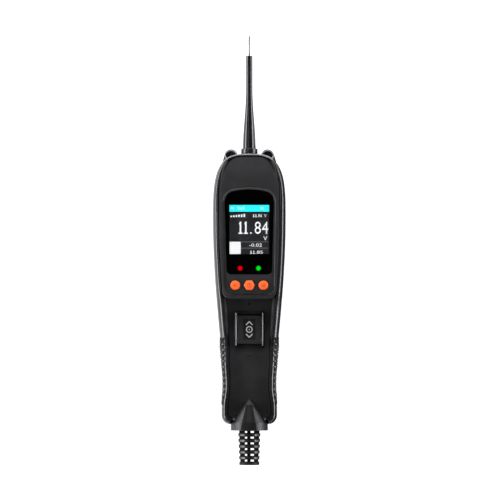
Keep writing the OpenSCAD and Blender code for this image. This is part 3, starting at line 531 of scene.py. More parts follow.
# %% The section of a grip
FLANK_LEAN, CROWN_LEAN = math.radians(32), math.radians(35)
LEAN_COS, LEAN_DROP = 0.819, 0.4264  # cos and 1 - sin of the crown's first lean


def section_profile(width, top, beside_handle):
    """[across from the outer side, height, lean of the surface], from the seam up and over the crown."""
    flank, flank_h = 1.35 - 0.25 * beside_handle, 4.6 - 0.8 * beside_handle
    crown = min(2.6 + 1.8 * beside_handle, (width - flank) * 1.3)
    crown_h = crown / 1.92
    low = top - crown_h - flank_h
    points = [(0, SEAM_Z + (low - SEAM_Z) * step / 16, 0) for step in range(16)]
    for step in range(11):
        t = step / 10
        points.append((flank * t ** 1.6, low + flank_h * t, FLANK_LEAN * t))
    last_turn = math.acos(max(0, LEAN_COS * (1 - (width - 0.25 - flank) / crown)))
    for step in range(1, 12):
        turn = CROWN_LEAN + (last_turn - CROWN_LEAN) * step / 11
        across = flank + crown * (LEAN_COS - math.cos(turn)) / LEAN_COS
        points.append((across, top - crown_h * (1 - math.sin(turn)) / LEAN_DROP, turn))
    return points


# %% The section at one place
def grip_section(kind, at):
    """The section's points at one place, and how far each point of its outside stands out on a stud."""
    outer = outline_point(kind, at, 0, 0)
    inner = outline_point(kind, at, -0.15, 1)
    width = (outer - inner).length
    out = (outer - inner).normalized()
    top, floor = rim_height(outer.y), valley_height(outer.y)
    wall = min(2.2 / width, 0.8)
    low = min(max(floor - 1.4, SEAM_Z + 4) + top - RIM_STAND - floor, top - 2)
    points = section_profile(width, top, ease((LIP_Y + 8 - outer.y) / 18))
    ring, lifts, along = [], [], -0.6
    last = points[-1]
    for across, z, lean in reversed(points):
        along += math.hypot(across - last[0], z - last[1])
        last = (across, z)
        lift = stud_lift(outer.y, along) if kind == "side" and z > SEAM_Z + 0.3 else 0
        spot = outer - out * across + out * (math.cos(lean) * lift)
        ring.insert(0, Vector((spot.x, spot.y, z + math.sin(lean) * lift)))
        lifts.insert(0, lift if along > 0.9 else STUD_HEIGHT)
    edge_z = points[-1][1]
    for share, z in ((1, edge_z - 0.35), (1, low), (wall, low - 1.2), (wall, SEAM_Z)):
        spot = outer.lerp(inner, share)
        ring.append(Vector((spot.x, spot.y, z)))
    return ring, lifts


# %% The places of the sweep
def grip_stations():
    """The places of the sweep: round the tail corner, along the side, close by the studs, and up the head."""
    stations = [("corner", math.radians(a)) for a in range(14, 90, 8)]
    y = TAIL_Y + 7
    while y < WIDE_Y:
        stations.append(("side", y))
        y += 0.4 if STUD_FIRST_Y - 2.4 < y < STUD_FIRST_Y + STUD_ROWS * STUD_PITCH else 2
    return stations + [("head", math.radians(61 * (step / 14) ** 1.7)) for step in range(15)]


print("stations:", len(grip_stations()), "points in a section:", len(grip_section("side", 0)[0]))

# %% [markdown]
# The studs' crests get a painted highlight, and the gaps between them painted shade. A value on each point
# remembers how far it stands out, and gives each face one of three finishes: plain rubber, painted shade or
# painted highlight. The left grip is the right one mirrored.

# %% New points, and a closed end
def points_in(made):
    return [item for item in made if isinstance(item, bmesh.types.BMVert)]


def cap(bm, edges):
    """Fills a closed loop of edges with one face."""
    bmesh.ops.contextual_create(bm, geom=edges)


# %% Sweep the section
# painted shade, near black, in the gaps between the studs; painted highlight, pale, on their crests
GRIP_GAP_PAINTED_SHADE = near_grey("grip_gap_painted_shade", 0.002, 0.004, (0.5, 0.6), 0.25, 0.004, specular=0.15)
STUD_PAINTED_HIGHLIGHT = near_grey("stud_crest_painted_highlight", 0.08, 0.11, (0.24, 0.3), 0.4, 0.006, tint=0.03)
PAINTED_SHADE_BELOW, PAINTED_HIGHLIGHT_FROM, PAINTED_HIGHLIGHT_TO = 0.45, 0.6, 0.999


def sweep_grip(mirrored):
    bm = bmesh.new()
    lift_of = bm.verts.layers.float.new("stud_lift")
    stations = grip_stations()
    ring = [bm.verts.new(point) for point in grip_section(*stations[0])[0]]
    edges = [bm.edges.new((ring[i], ring[(i + 1) % len(ring)])) for i in range(len(ring))]
    cap(bm, edges)
    for station in stations[1:]:
        fresh = set(points_in(bmesh.ops.extrude_edge_only(bm, edges=edges)["geom"]))
        ring = [next(e.other_vert(v) for e in v.link_edges if e.other_vert(v) in fresh) for v in ring]
        points, lifts = grip_section(*station)
        for index, vert in enumerate(ring):
            vert.co = points[index]
            on_studs = (station[0] == "side" and index < len(lifts)
                        and STUD_FIRST_Y - 1.2 < vert.co.y < STUD_FIRST_Y + STUD_ROWS * STUD_PITCH - 1)
            vert[lift_of] = lifts[index] if on_studs else STUD_HEIGHT
        edges = [bm.edges.get((ring[i], ring[(i + 1) % len(ring)])) for i in range(len(ring))]
    cap(bm, edges)
    # low faces between the studs get the painted shade, faces near the crests the painted highlight
    for face in bm.faces:
        stands_out = sum(vert[lift_of] for vert in face.verts) / len(face.verts) / STUD_HEIGHT
        face.material_index = 1 if stands_out < PAINTED_SHADE_BELOW else 2 if PAINTED_HIGHLIGHT_FROM < stands_out < PAINTED_HIGHLIGHT_TO else 0
    if mirrored:
        resize(bm, bm.verts, (-1, 1, 1))
    return bm


for side in ("left", "right"):
    new_piece("grip_" + side, sweep_grip(side == "left"), "soft_grip",
              [FINISHES["soft_grip"], GRIP_GAP_PAINTED_SHADE, STUD_PAINTED_HIGHLIGHT], stands_for=[side + "_side_grip"], sharp=50)

# %% [markdown]
# ## The rim round the head
#
# The rubber goes on round the head as a thin rim, whose crest shows as one fine pale line: a painted highlight.
# A bevel on the cover wouldn't catch the light so evenly, so it is a circle extruded along the arch, in a pale
# colour that paints that highlight.

# %% A circle of edges
def edges_of(verts):
    """The edges that meet at these points, each of them once."""
    return list(dict.fromkeys(edge for vert in verts for edge in vert.link_edges))


def edges_in(made):
    return [item for item in made if isinstance(item, bmesh.types.BMEdge)]


def circle_at(bm, segments, radius, turn, place):
    """A circle of edges, turned and then put in its place: its points and its edges."""
    verts = bmesh.ops.create_circle(bm, segments=segments, radius=radius)["verts"]
    rotate(bm, verts, turn)
    move(bm, verts, place)
    return verts, edges_of(verts)


# %% Extrude a circle along the arch
RIM_R, RIM_INSET, RIM_PROUD = 0.5, 0.52, 0.3
# painted highlight: a pale colour for the light on the rim's crest and round the hoods' mouths
RIM_PAINTED_HIGHLIGHT = near_grey("rim_painted_highlight", 0.24, 0.3, (0.24, 0.32), 0.3, 0.004, tint=0.03)


def arch_path(inset, height):
    """Points along the head's arch, from right to left; height gives the z over a place."""
    path = []
    for turn in range(60, 121):
        spot = outline_point("head", math.radians(min(turn, 180 - turn)), inset, 0)
        x = -spot.x if turn > 90 else spot.x
        path.append(Vector((x, spot.y, height(x, spot.y))))
    return path


def rod_along(bm, path, radius):
    """Extrudes a circle along a path of points, with a cap at both ends."""
    way = path[1] - path[0]
    edges = circle_at(bm, 14, radius, way.to_track_quat("Z", "Y").to_matrix(), path[0])[1]
    cap(bm, edges)
    for here, there in zip(path, path[1:]):
        made = bmesh.ops.extrude_edge_only(bm, edges=edges)["geom"]
        fresh = points_in(made)
        edges = [edge for edge in edges_in(made) if all(v in fresh for v in edge.verts)]
        move(bm, fresh, there - here)
        bend = way.rotation_difference(there - here).to_matrix()
        rotate(bm, fresh, bend, there)
        way = there - here
    cap(bm, edges)


rim_bm = bmesh.new()
rod_along(rim_bm, arch_path(RIM_INSET, lambda x, y: head_height(y) - RIM_R + RIM_PROUD), RIM_R)
new_piece("head_rim", rim_bm, "soft_grip", [RIM_PAINTED_HIGHLIGHT], sharp=50)

# %% [markdown]
# Inside the rim runs the joint between rubber and cover, with the shade of its groove. A groove in the cover
# would take many faces, so a dark rod, half sunk, paints that shade as a line. A ray goes down on the cover at
# each point of its path.

# %% The painted shade of the joint inside the rim
JOINT_R, JOINT_INSET, JOINT_PROUD, RAY_TOP = 0.36, 1.5, 0.05, 60
# painted shade: a near-black rod for the shade in the groove inside the rim
JOINT_PAINTED_SHADE = near_grey("rim_joint_painted_shade", 0.001, 0.0015, (0.6, 0.7), 0.4, 0.01, specular=0.05)
cover_mesh = frame["nodes"]["front_cover"].data
cover_tree = BVHTree.FromPolygons([v.co / MM for v in cover_mesh.vertices],
                                  [tuple(face.vertices) for face in cover_mesh.polygons])


def cover_height(x, y):
    """The height at which a ray from above meets the cover, in mm."""
    return cover_tree.ray_cast(Vector((x, y, RAY_TOP)), Vector((0, 0, -1)))[0].z


joint_path = arch_path(JOINT_INSET, lambda x, y: cover_height(x, y) + JOINT_PROUD)
print("joint height at its end and its middle:", round(joint_path[0].z, 2), round(joint_path[30].z, 2))
joint_bm = bmesh.new()
rod_along(joint_bm, joint_path, JOINT_R)
new_piece("rim_joint_painted_shade", joint_bm, "soft_grip", [JOINT_PAINTED_SHADE], sharp=50)

# %% [markdown]
# ## The probe
#
# Needle, sleeve and collar are round. The sleeve is moulded over the needle, and a plain collar holds both.
# Each is drawn as half of its outline and spun once round the axis, which needs few points.

# %% A bevel with the editor's settings
def bevel_some(bm, chosen, offset, segments=3):
    bmesh.ops.bevel(bm, geom=chosen, offset=offset, offset_type="OFFSET", affect="EDGES", segments=segments,
                    profile=0.5, material=-1)


# %% Spin an outline round the probe's axis
def turned(name, outline, slot, soft=0.0):
    """outline: [radius, y] in mm, from the axis out and back to the axis."""
    bm = bmesh.new()
    spots = [bm.verts.new((radius, y, SEAM_Z)) for radius, y in outline]
    line = [bm.edges.new(pair) for pair in zip(spots, spots[1:])]
    bmesh.ops.spin(bm, geom=spots + line, cent=(0, 0, SEAM_Z), axis=(0, 1, 0), angle=math.tau, steps=72,
                   use_merge=True)
    bmesh.ops.remove_doubles(bm, verts=bm.verts, dist=MERGE)
    if soft:
        bevel_some(bm, [e for e in bm.edges if e.calc_face_angle(0) > math.radians(50)], soft)
    new_piece(name, bm, slot, stands_for=[name])


TIP_Y, SLEEVE_TIP_Y, SLEEVE_Y, COLLAR_Y, FLARE_LEN = 153.0, 138.5, 72.4, 68.55, 42.0
NEEDLE_R, POINT_R, SLEEVE_R, SLEEVE_ROOT_R, FLARE, COLLAR_R = 0.6, 0.12, 2.35, 4.6, 2.25, 5.9
turned("probe_needle", [(0, SLEEVE_Y + 6), (NEEDLE_R, SLEEVE_Y + 6), (NEEDLE_R, TIP_Y - 1.2),
                        (POINT_R, TIP_Y - 0.05), (0, TIP_Y)], "needle_steel")
flare = [(SLEEVE_ROOT_R - FLARE * ease(step / 24), SLEEVE_Y + FLARE_LEN * step / 24) for step in range(25)]
turned("probe_sleeve", [(0, SLEEVE_Y)] + flare + [(SLEEVE_R, SLEEVE_TIP_Y - 0.3), (2.26, SLEEVE_TIP_Y - 0.09),
                                                  (2.05, SLEEVE_TIP_Y), (0, SLEEVE_TIP_Y)], "sleeve_black")
turned("probe_collar", [(0, COLLAR_Y), (COLLAR_R, COLLAR_Y), (COLLAR_R, SLEEVE_Y), (0, SLEEVE_Y)], "part_black",
       soft=0.35)

# %% [markdown]
# ## The lamp hoods
#
# A hood is a short tube with a slanting mouth, and its skirt runs into the casing. It keeps the solid's shape,
# and its mouth gets a soft edge by a bevel, because a moulded edge always has one.

# %% Hoods with a soft mouth
HOOD_TILT = 42  # degrees
MOUTH_WAY = Vector((0, math.sin(math.radians(HOOD_TILT)), math.cos(math.radians(HOOD_TILT))))
for side in ("left", "right"):
    hood_name = side + "_lamp_hood"
    hood_bm = solid_copy(hood_name)
    mouth_faces = [face for face in hood_bm.faces if face.normal.dot(MOUTH_WAY) > 0.995]
    bevel_some(hood_bm, list(dict.fromkeys(edge for face in mouth_faces for edge in face.edges)), 0.3)
    piece_from_copy(hood_name + "_soft", hood_bm, "part_black", hood_name)

# %% [markdown]
# ## The cable boot
#
# The boot is a ribbed rubber sleeve with slots that let it bend. It keeps the solid's shape, and faces deeper
# than the ribs' tops get painted shade, a darker colour, as little light comes down the slots. Thin rounded
# pads on the ribs carry a painted highlight, a paler colour for the light along each rib.

# %% The boot, dark in its slots
BOOT_ROOT_Y, BOOT_R, BOOT_SLIM, SLOT_DEEP = -128.4, 7.96, 0.0357, 0.2
# painted shade: a darker colour on faces deep in the slots
BOOT_SLOT_PAINTED_SHADE = near_grey("boot_slot_painted_shade", 0.0015, 0.003, (0.6, 0.7), 0.3, 0.006, specular=0.05)
boot_bm = solid_copy("cable_boot")
recessed = 0
for face in boot_bm.faces:
    middle = face.calc_center_median()
    rib_r = BOOT_R - BOOT_SLIM * (BOOT_ROOT_Y - middle.y)
    if middle.y < BOOT_ROOT_Y and math.hypot(middle.x, middle.z - SEAM_Z) < rib_r - SLOT_DEEP:
        face.material_index = 1
        recessed += 1
print("recessed faces on the boot:", recessed)
piece_from_copy("boot_ribs", boot_bm, "boot_rubber", "cable_boot",
                materials=[FINISHES["boot_rubber"], BOOT_SLOT_PAINTED_SHADE])

# %% Rounded pads on the boot's ribs
PAD_ROWS, PAD_FIRST_Y, PAD_PITCH, PAD_R, PAD_SLIM = 5, -131.5, 4.1, 7.86, 0.15
PAD_LONG, PAD_THICK = 1.7, 0.12
# painted highlight: pale pads for the light along each rib
PAD_PAINTED_HIGHLIGHT = near_grey("boot_pads_painted_highlight", 0.05, 0.085, (0.34, 0.42), 0.3, 0.006, tint=0.03)


def turn_about(axis, degrees):
    return Matrix.Rotation(math.radians(degrees), 3, axis)


def arc_pad(bm, y, radius, first, last):
    """A rounded bar that lies on a round body; 0 degrees is the top and the angles go to the right."""
    ends = bmesh.ops.create_circle(bm, segments=12, radius=0.5)["verts"]
    resize(bm, ends, (1, PAD_LONG, 1))
    rotate(bm, ends, turn_about("Y", 90))
    resize(bm, ends, (1, 1, PAD_THICK * 2))
    move(bm, ends, (0, y, SEAM_Z + radius))
    rotate(bm, ends, turn_about("Y", first), (0, y, SEAM_Z))
    edges = edges_of(ends)
    cap(bm, edges)
    made = bmesh.ops.spin(bm, geom=ends + edges, cent=(0, y, SEAM_Z), axis=(0, 1, 0),
                          angle=math.radians(last - first), steps=6)["geom_last"]
    cap(bm, edges_in(made))


pads = bmesh.new()
for row in range(PAD_ROWS):
    for first, last in ((-58, -26), (30, 60)):
        arc_pad(pads, PAD_FIRST_Y - PAD_PITCH * row, PAD_R - PAD_SLIM * row, first, last)
new_piece("boot_pads", pads, "boot_rubber", [PAD_PAINTED_HIGHLIGHT], sharp=50)

# %% [markdown]
# The hoods' mouths catch the light all round. A thin pale bead paints that highlight: a circle spun to a ring,
# then tilted.

# %% A bead round each hood's mouth
MOUTH_X, MOUTH_Y, MOUTH_Z, MOUTH_R, MOUTH_BEAD_R = 13, 67.683, 20.5, 4.2, 0.34
mouths = bmesh.new()
for side in (-1, 1):
    others = set(mouths.verts)
    ring, edges = circle_at(mouths, 10, MOUTH_BEAD_R, turn_about("X", 90), (MOUTH_R, 0, 0))
    bmesh.ops.spin(mouths, geom=ring + edges, axis=(0, 0, 1), angle=math.tau, steps=40, use_merge=True)
    whole = [vert for vert in mouths.verts if vert not in others]
    resize(mouths, whole, (1, 1.05, 1))
    rotate(mouths, whole, turn_about("X", -HOOD_TILT))
    move(mouths, whole, (side * MOUTH_X, MOUTH_Y, MOUTH_Z))
# painted highlight round each hood's mouth
new_piece("hood_beads", mouths, "part_black", [RIM_PAINTED_HIGHLIGHT], sharp=50)

# %% [markdown]
# ## The rocker
#
# The rocker lies in a frame with a rounded rail on each side. The frame's top edges are bevelled, and a pale
# rod on each rail paints its broad soft highlight. The cap keeps the solid's hollow, in a duller black.

# %% Upper edges, and a cylinder
def edges_over(bm, z, sharper=-1):
    """The edges that lie over a height, and whose faces meet at more than so many degrees."""
    return [e for e in bm.edges if all(v.co.z > z for v in e.verts)
            and e.calc_face_angle(0) > math.radians(sharper)]


def cylinder(bm, segments, radius, length):
    return bmesh.ops.create_cone(bm, cap_ends=True, segments=segments, radius1=radius, radius2=radius,
                                 depth=length)["verts"]


# %% Frame, rails and cap
RAIL_LONG, RAIL_X, RAIL_Y, RAIL_Z, RAIL_PROUD = 23.4, 9.55, -56.1, 28.6, 0.06
# painted highlight: a pale rod on each rail for its soft light
RAIL_PAINTED_HIGHLIGHT = near_grey("rail_painted_highlight", 0.19, 0.24, (0.3, 0.38), 0.3, 0.004, tint=0.03)
CAP_MATT = near_grey("cap_abs", 0.006, 0.008, (0.42, 0.5), 0.35, 0.01, tint=0.03, specular=0.35)
frame_bm = solid_copy("rocker_bezel")
frame_top = max(v.co.z for v in frame_bm.verts)
bevel_some(frame_bm, edges_over(frame_bm, frame_top - 0.01), 0.6, 4)
piece_from_copy("rocker_frame", frame_bm, "part_black", "rocker_bezel")

rails_bm = bmesh.new()
for side, thick in ((-1, 1.15), (1, 0.8)):
    rail = cylinder(rails_bm, 16, thick / 2, RAIL_LONG)
    rotate(rails_bm, rail, turn_about("X", 90))
    move(rails_bm, rail, (side * RAIL_X, RAIL_Y, RAIL_Z - thick / 2 + RAIL_PROUD))
bevel_some(rails_bm, [e for e in rails_bm.edges if e.calc_face_angle(0) > math.radians(60)], 0.25)
new_piece("rocker_rails", rails_bm, "part_black", [RAIL_PAINTED_HIGHLIGHT], sharp=50)

cap_bm = solid_copy("rocker_cap")
CAP_SIDE_Z = 27  # the cap's upper edges lie over this
bevel_some(cap_bm, edges_over(cap_bm, CAP_SIDE_Z, sharper=40), 0.35)
piece_from_copy("rocker_top", cap_bm, "matt_cover", "rocker_cap", body="rocker", materials=[CAP_MATT])

# %% [markdown]
# Its printed marks are two chevrons and a ring on a dark field. A mask in the material would blur close up, so
# they are thin shapes, drawn flat and bent to the hollow. The signs by the rocker are made alike.

# %% Flat shapes for prints
ROCKER_Y, DISH_LOW_Z, DISH_R = -56.5, 28.1, 60.0
PRINT_THICK = 0.03
PRINT_DARK = near_grey("dark_print", 0.003, 0.005, (0.5, 0.6), 0.3, 0.004, specular=0.15)
PRINT_PALE = near_grey("pale_print", 0.3, 0.36, (0.5, 0.6), 0.3, 0.004)


def flat_bar(bm, x, y, long, wide, turn):
    """A flat bar in the plane z = 0, turned by an angle in degrees."""
    made = bmesh.ops.create_grid(bm, x_segments=max(1, round(long)), y_segments=max(1, round(wide)),
                                 size=0.5)["verts"]
    resize(bm, made, (long, wide, 1))
    rotate(bm, made, turn_about("Z", turn))
    move(bm, made, (x, y, 0))


def flat_ring(bm, x, y, outer, inner):
    spot = bm.verts.new((x + inner, y, 0)), bm.verts.new((x + outer, y, 0))
    bmesh.ops.spin(bm, geom=[*spot, bm.edges.new(spot)], cent=(x, y, 0), axis=(0, 0, 1), angle=math.tau,
                   steps=32, use_merge=True)


def thicken(bm, thick):
    """Gives flat shapes a thickness, and tells how low they then reach."""
    bmesh.ops.recalc_face_normals(bm, faces=bm.faces)
    bmesh.ops.solidify(bm, geom=bm.faces[:], thickness=thick)
    return min(v.co.z for v in bm.verts)


def print_on_dish(name, bm, lift, material):
    """Lays flat shapes into the cap's hollow, and makes them a piece of the rocker."""
    low = thicken(bm, PRINT_THICK)
    for vert in bm.verts:
        vert.co.z += DISH_LOW_Z + DISH_R - math.sqrt(DISH_R ** 2 - vert.co.y ** 2) + lift - low
    move(bm, bm.verts, (0, ROCKER_Y, 0))
    new_piece(name, bm, "matt_cover", [material], body="rocker")


# %% Prints on the rocker, and signs beside it
CHEVRON_X, CHEVRON_Y, CHEVRON_TURN, MARKS_Y = 1.15, 4.4, 48, 0.15
field = bmesh.new()
flat_bar(field, 0, 0.4, 8.6, 15, 0)
print_on_dish("rocker_field", field, 0.01, PRINT_DARK)

marks = bmesh.new()
for way in (-1, 1):
    for side in (-1, 1):
        flat_bar(marks, side * CHEVRON_X, MARKS_Y + way * CHEVRON_Y, 3.3, 0.8, -side * way * CHEVRON_TURN)
flat_ring(marks, 0, MARKS_Y, 2.4, 1.65)
flat_ring(marks, 0, MARKS_Y, 0.45, 0.05)
print_on_dish("rocker_marks", marks, 0.05, PRINT_PALE)

signs = bmesh.new()
for y, long, turn in ((-38.3, 2.6, 0), (-38.3, 2.6, 90), (-75.2, 2.8, 0)):
    flat_bar(signs, 0, y, long, 0.6, turn)
bmesh.ops.solidify(signs, geom=signs.faces[:], thickness=0.08)
move(signs, signs.verts, (0, 0, VALLEY_Z + 0.04))
new_piece("valley_signs", signs, "matt_cover", [PRINT_DARK])

# %% [markdown]
# ## The ridge over the boot
#
# The cover swells over the boot. A strip down its top and a line on each side of it carry painted shade, darker
# than the cover. They are flat grids laid on the cover by rays from above, as the rim's joint is, because the
# solid has no faces of their shape.

# %% Lay strips down on the cover
RIDGE_LOW_Y, RIDGE_TOP_Y, STRIP_PROUD, STRIP_THICK = -128.0, -110.0, 0.03, 0.02
# painted shade: a darker strip and side lines over the boot's ridge
RIDGE_STRIP_PAINTED_SHADE = near_grey("ridge_strip_painted_shade", 0.006, 0.009, (0.5, 0.6), 0.35, 0.01, specular=0.15)
RIDGE_LINE_PAINTED_SHADE = near_grey("ridge_line_painted_shade", 0.002, 0.004, (0.6, 0.7), 0.35, 0.01, specular=0.15)


def laid_strip(name, low, high, material):
    """low and high: the strip's left and right x at its low end and at its top."""
    bm = bmesh.new()
    bmesh.ops.create_grid(bm, x_segments=6, y_segments=36, size=0.5)
    for vert in bm.verts:
        share = vert.co.y + 0.5
        left = low[0] + (high[0] - low[0]) * share
        right = low[1] + (high[1] - low[1]) * share
        x = left + (right - left) * (vert.co.x + 0.5)
        y = RIDGE_LOW_Y + (RIDGE_TOP_Y - RIDGE_LOW_Y) * share
        vert.co = (x, y, cover_height(x, y) + STRIP_PROUD)
    bmesh.ops.solidify(bm, geom=bm.faces[:], thickness=STRIP_THICK)
    new_piece(name, bm, "matt_cover", [material])


laid_strip("ridge_strip_painted_shade", (-2.0, 1.7), (-0.9, 0.9), RIDGE_STRIP_PAINTED_SHADE)
laid_strip("ridge_line_painted_shade_left", (-6.3, -2.05), (-2.4, -0.95), RIDGE_LINE_PAINTED_SHADE)
laid_strip("ridge_line_painted_shade_right", (1.75, 5.4), (0.95, 2.2), RIDGE_LINE_PAINTED_SHADE)

# %% [markdown]
# ## Lines round the panel
#
# The panel for screen and buttons is a film let into the cover. Its arched top shows a pale bead, a painted
# highlight, with painted shade inside it, and its lower edge a line of painted shade. Each line is a circle
# spun about the centre of its bend, or a straight rod, which keeps true arcs.

# %% Beads and rods
def bead(bm, centre, radius, first, last, thick, z):
    """Round bead along an arc; the angles are in degrees."""
    made, edges = circle_at(bm, 8, thick / 2, turn_about("X", 90), (radius, 0, z))
    rotate(bm, made, turn_about("Z", first))
    move(bm, made, (*centre, 0))
    bmesh.ops.spin(bm, geom=made + edges, cent=(*centre, 0), axis=(0, 0, 1), angle=math.radians(last - first),
                   steps=max(4, round((last - first) / 4)))


def rod(bm, start, end, thick, z):
    start, end = Vector((*start, z)), Vector((*end, z))
    made = cylinder(bm, 8, thick / 2, (end - start).length)
    rotate(bm, made, (end - start).to_track_quat("Z", "X").to_matrix())
    move(bm, made, (start + end) / 2)


# %% The panel's edge and joints
PANEL_TOP_Y, ARCH_R, ARCH_TURN, BEND_R = 44.3, 52, 13.7, 8.35
BEND_X = (ARCH_R - BEND_R) * math.sin(math.radians(ARCH_TURN))
BEND_Y = PANEL_TOP_Y - ARCH_R + (ARCH_R - BEND_R) * math.cos(math.radians(ARCH_TURN))
# painted highlight along the panel's arched edge, and painted shade in its joints
PANEL_EDGE_PAINTED_HIGHLIGHT = near_grey("panel_edge_painted_highlight", 0.05, 0.06, (0.4, 0.5), 0.4, 0.01, tint=0.03)
PANEL_JOINT_PAINTED_SHADE = near_grey("joint_shadow", 0.001, 0.0015, (0.6, 0.7), 0.4, 0.01)


def arch_bead(bm, inwards, thick, z):
    bead(bm, (0, PANEL_TOP_Y - ARCH_R), ARCH_R - inwards, 90 - ARCH_TURN, 90 + ARCH_TURN, thick, z)
    bead(bm, (BEND_X, BEND_Y), BEND_R - inwards, 0, 90 - ARCH_TURN, thick, z)
    bead(bm, (-BEND_X, BEND_Y), BEND_R - inwards, 90 + ARCH_TURN, 180, thick, z)


pale = bmesh.new()
arch_bead(pale, 0, 0.5, HEAD_Z - 0.12)
rod(pale, (BEND_X + BEND_R, BEND_Y), (17.75, -26), 0.4, HEAD_Z - 0.14)
new_piece("panel_edge", pale, "matt_cover", [PANEL_EDGE_PAINTED_HIGHLIGHT])

JOINT_THICK, JOINT_Z, LOW_BEND_X, LOW_BEND_Y, LOW_BEND_R = 0.9, HEAD_Z - 0.16, 13.2, -26.4, 5.05
joint = bmesh.new()
arch_bead(joint, 0.75, JOINT_THICK, HEAD_Z - 0.38)
bead(joint, (LOW_BEND_X, LOW_BEND_Y), LOW_BEND_R, -90, -4, JOINT_THICK, JOINT_Z)
bead(joint, (-LOW_BEND_X, LOW_BEND_Y), LOW_BEND_R, 184, 270, JOINT_THICK, JOINT_Z)
rod(joint, (-LOW_BEND_X, -31.45), (LOW_BEND_X, -31.45), JOINT_THICK, JOINT_Z)
new_piece("panel_joint", joint, "matt_cover", [PANEL_JOINT_PAINTED_SHADE])

# %% [markdown]
# ## The screen
#
# The screen shows plain readings in white on black, under a blue bar. Its glass lies under the lens, so the
# picture is made of thin raised shapes on it, which stay sharp in a close view. Numbers come from Blender's own
# font, as meshes fitted to their places.

# %% Lit inks
def lit_ink(name, colour, strength):
    return finish(name, tuple(c * 0.4 for c in colour), tuple(c * 0.45 for c in colour), (0.3, 0.4), 0.2, 0.001,
                  Emission_Color=(*colour, 1), Emission_Strength=strength)


def pixel_glow():
    """The unlit part of the screen: a faint grey glow in fine cells."""
    material = near_grey("dim_pixels", 0.003, 0.005, (0.3, 0.4), 0.2, 0.001, Emission_Strength=1.0)
    tree = material.node_tree
    cells = add_node(tree, "TexVoronoi", Scale=1 / MM / 0.8)
    tree.links.new(tree.nodes["Texture Coordinate"].outputs["Object"], cells.inputs["Vector"])
    glow = colour_ramp(tree, cells.outputs["Distance"], (0.004, 0.004, 0.005), (0.028, 0.028, 0.03))
    tree.links.new(glow, tree.nodes["Principled BSDF"].inputs["Emission Color"])
    return material


WHITE_INK = lit_ink("white_pixels", (1, 1, 1), 0.85)
CYAN_INK = lit_ink("cyan_pixels", (0.025, 0.9, 0.92), 1.0)
PALE_CYAN_INK = lit_ink("pale_cyan_pixels", (0.45, 0.95, 0.97), 1.0)
GREY_INK = lit_ink("grey_pixels", (0.12, 0.12, 0.125), 0.7)
print("inks:", WHITE_INK.name, CYAN_INK.name, PALE_CYAN_INK.name, GREY_INK.name)


# %% Slabs and text
def add_slab(bm, x0, y0, x1, y1, z0, height):
    """A low box between two corners."""
    made = bmesh.ops.create_cube(bm, size=1)["verts"]
    resize(bm, made, (x1 - x0, y1 - y0, height))
    move(bm, made, ((x0 + x1) / 2, (y0 + y1) / 2, z0 + height / 2))


def add_text(bm, text, x0, y0, x1, y1, z0, height):
    """Text as a raised mesh, stretched into a box."""
    curve = bpy.data.curves.new("reading", "FONT")
    curve.body = text
    curve.extrude = 0.5
    curve.resolution_u = 3
    carrier = bpy.data.objects.new("reading", curve)
    bpy.context.scene.collection.objects.link(carrier)
    mesh = bpy.data.meshes.new_from_object(carrier.evaluated_get(bpy.context.evaluated_depsgraph_get()))
    bpy.data.objects.remove(carrier)
    others = set(bm.verts)
    bm.from_mesh(mesh)
    bpy.data.meshes.remove(mesh)
    made = [vert for vert in bm.verts if vert not in others]
    low = Vector([min(v.co[i] for v in made) for i in range(3)])
    size = Vector([max(v.co[i] for v in made) for i in range(3)]) - low
    move(bm, made, -low)
    resize(bm, made, ((x1 - x0) / size.x, (y1 - y0) / size.y, height / size.z))
    move(bm, made, (x0, y0, z0))


# %% The dim field and the bar
SCREEN_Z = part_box("lcd_glass")[1].z / MM
INK_Z, INK, THIN_INK = SCREEN_Z + 0.03, 0.03, 0.02
dim = bmesh.new()
add_slab(dim, -14, -2.7, 13.9, 26.5, SCREEN_Z + 0.005, THIN_INK)
new_piece("screen_field", dim, "lcd_screen", [pixel_glow()])

bar = bmesh.new()
add_slab(bar, -14.1, 27.3, 14.1, 32.1, INK_Z, INK)
new_piece("screen_bar", bar, "lcd_screen", [CYAN_INK])

bar_marks = bmesh.new()
for corners in ((-13, 29.2, -11, 30.5), (-8.3, 28.9, -6.9, 30.9), (-6.4, 28.9, -5.2, 30.3),
                (-4.7, 28.9, -3.5, 30.9), (8.1, 29.1, 8.8, 30.6)):
    add_slab(bar_marks, *corners, INK_Z + 0.035, THIN_INK)
horn = cylinder(bar_marks, 3, 1.2, THIN_INK)
rotate(bar_marks, horn, turn_about("Z", 90))
move(bar_marks, horn, (9.4, 29.85, INK_Z + 0.045))
new_piece("screen_bar_marks", bar_marks, "lcd_screen", [PALE_CYAN_INK])

# %% [markdown]
# The readings are plain numbers and units. A figure one has a foot and a flag on such a screen, and the font's
# has none, so it is three slabs. The lists give each box's corners in millimetres.

# %% Readings
BIG_Y, BIG_TOP_Y, SMALL_Y, LOW_Y = 11.6, 20.3, 23.5, -2.5


def add_one(bm, x, y, high, foot, stroke):
    mid = x + foot / 2
    add_slab(bm, x, y, x + foot, y + stroke * 0.8, INK_Z, INK)
    add_slab(bm, mid - stroke / 2, y, mid + stroke / 2, y + high, INK_Z, INK)
    add_slab(bm, mid - foot * 0.36, y + high - stroke * 1.7, mid, y + high - stroke * 0.8, INK_Z, INK)


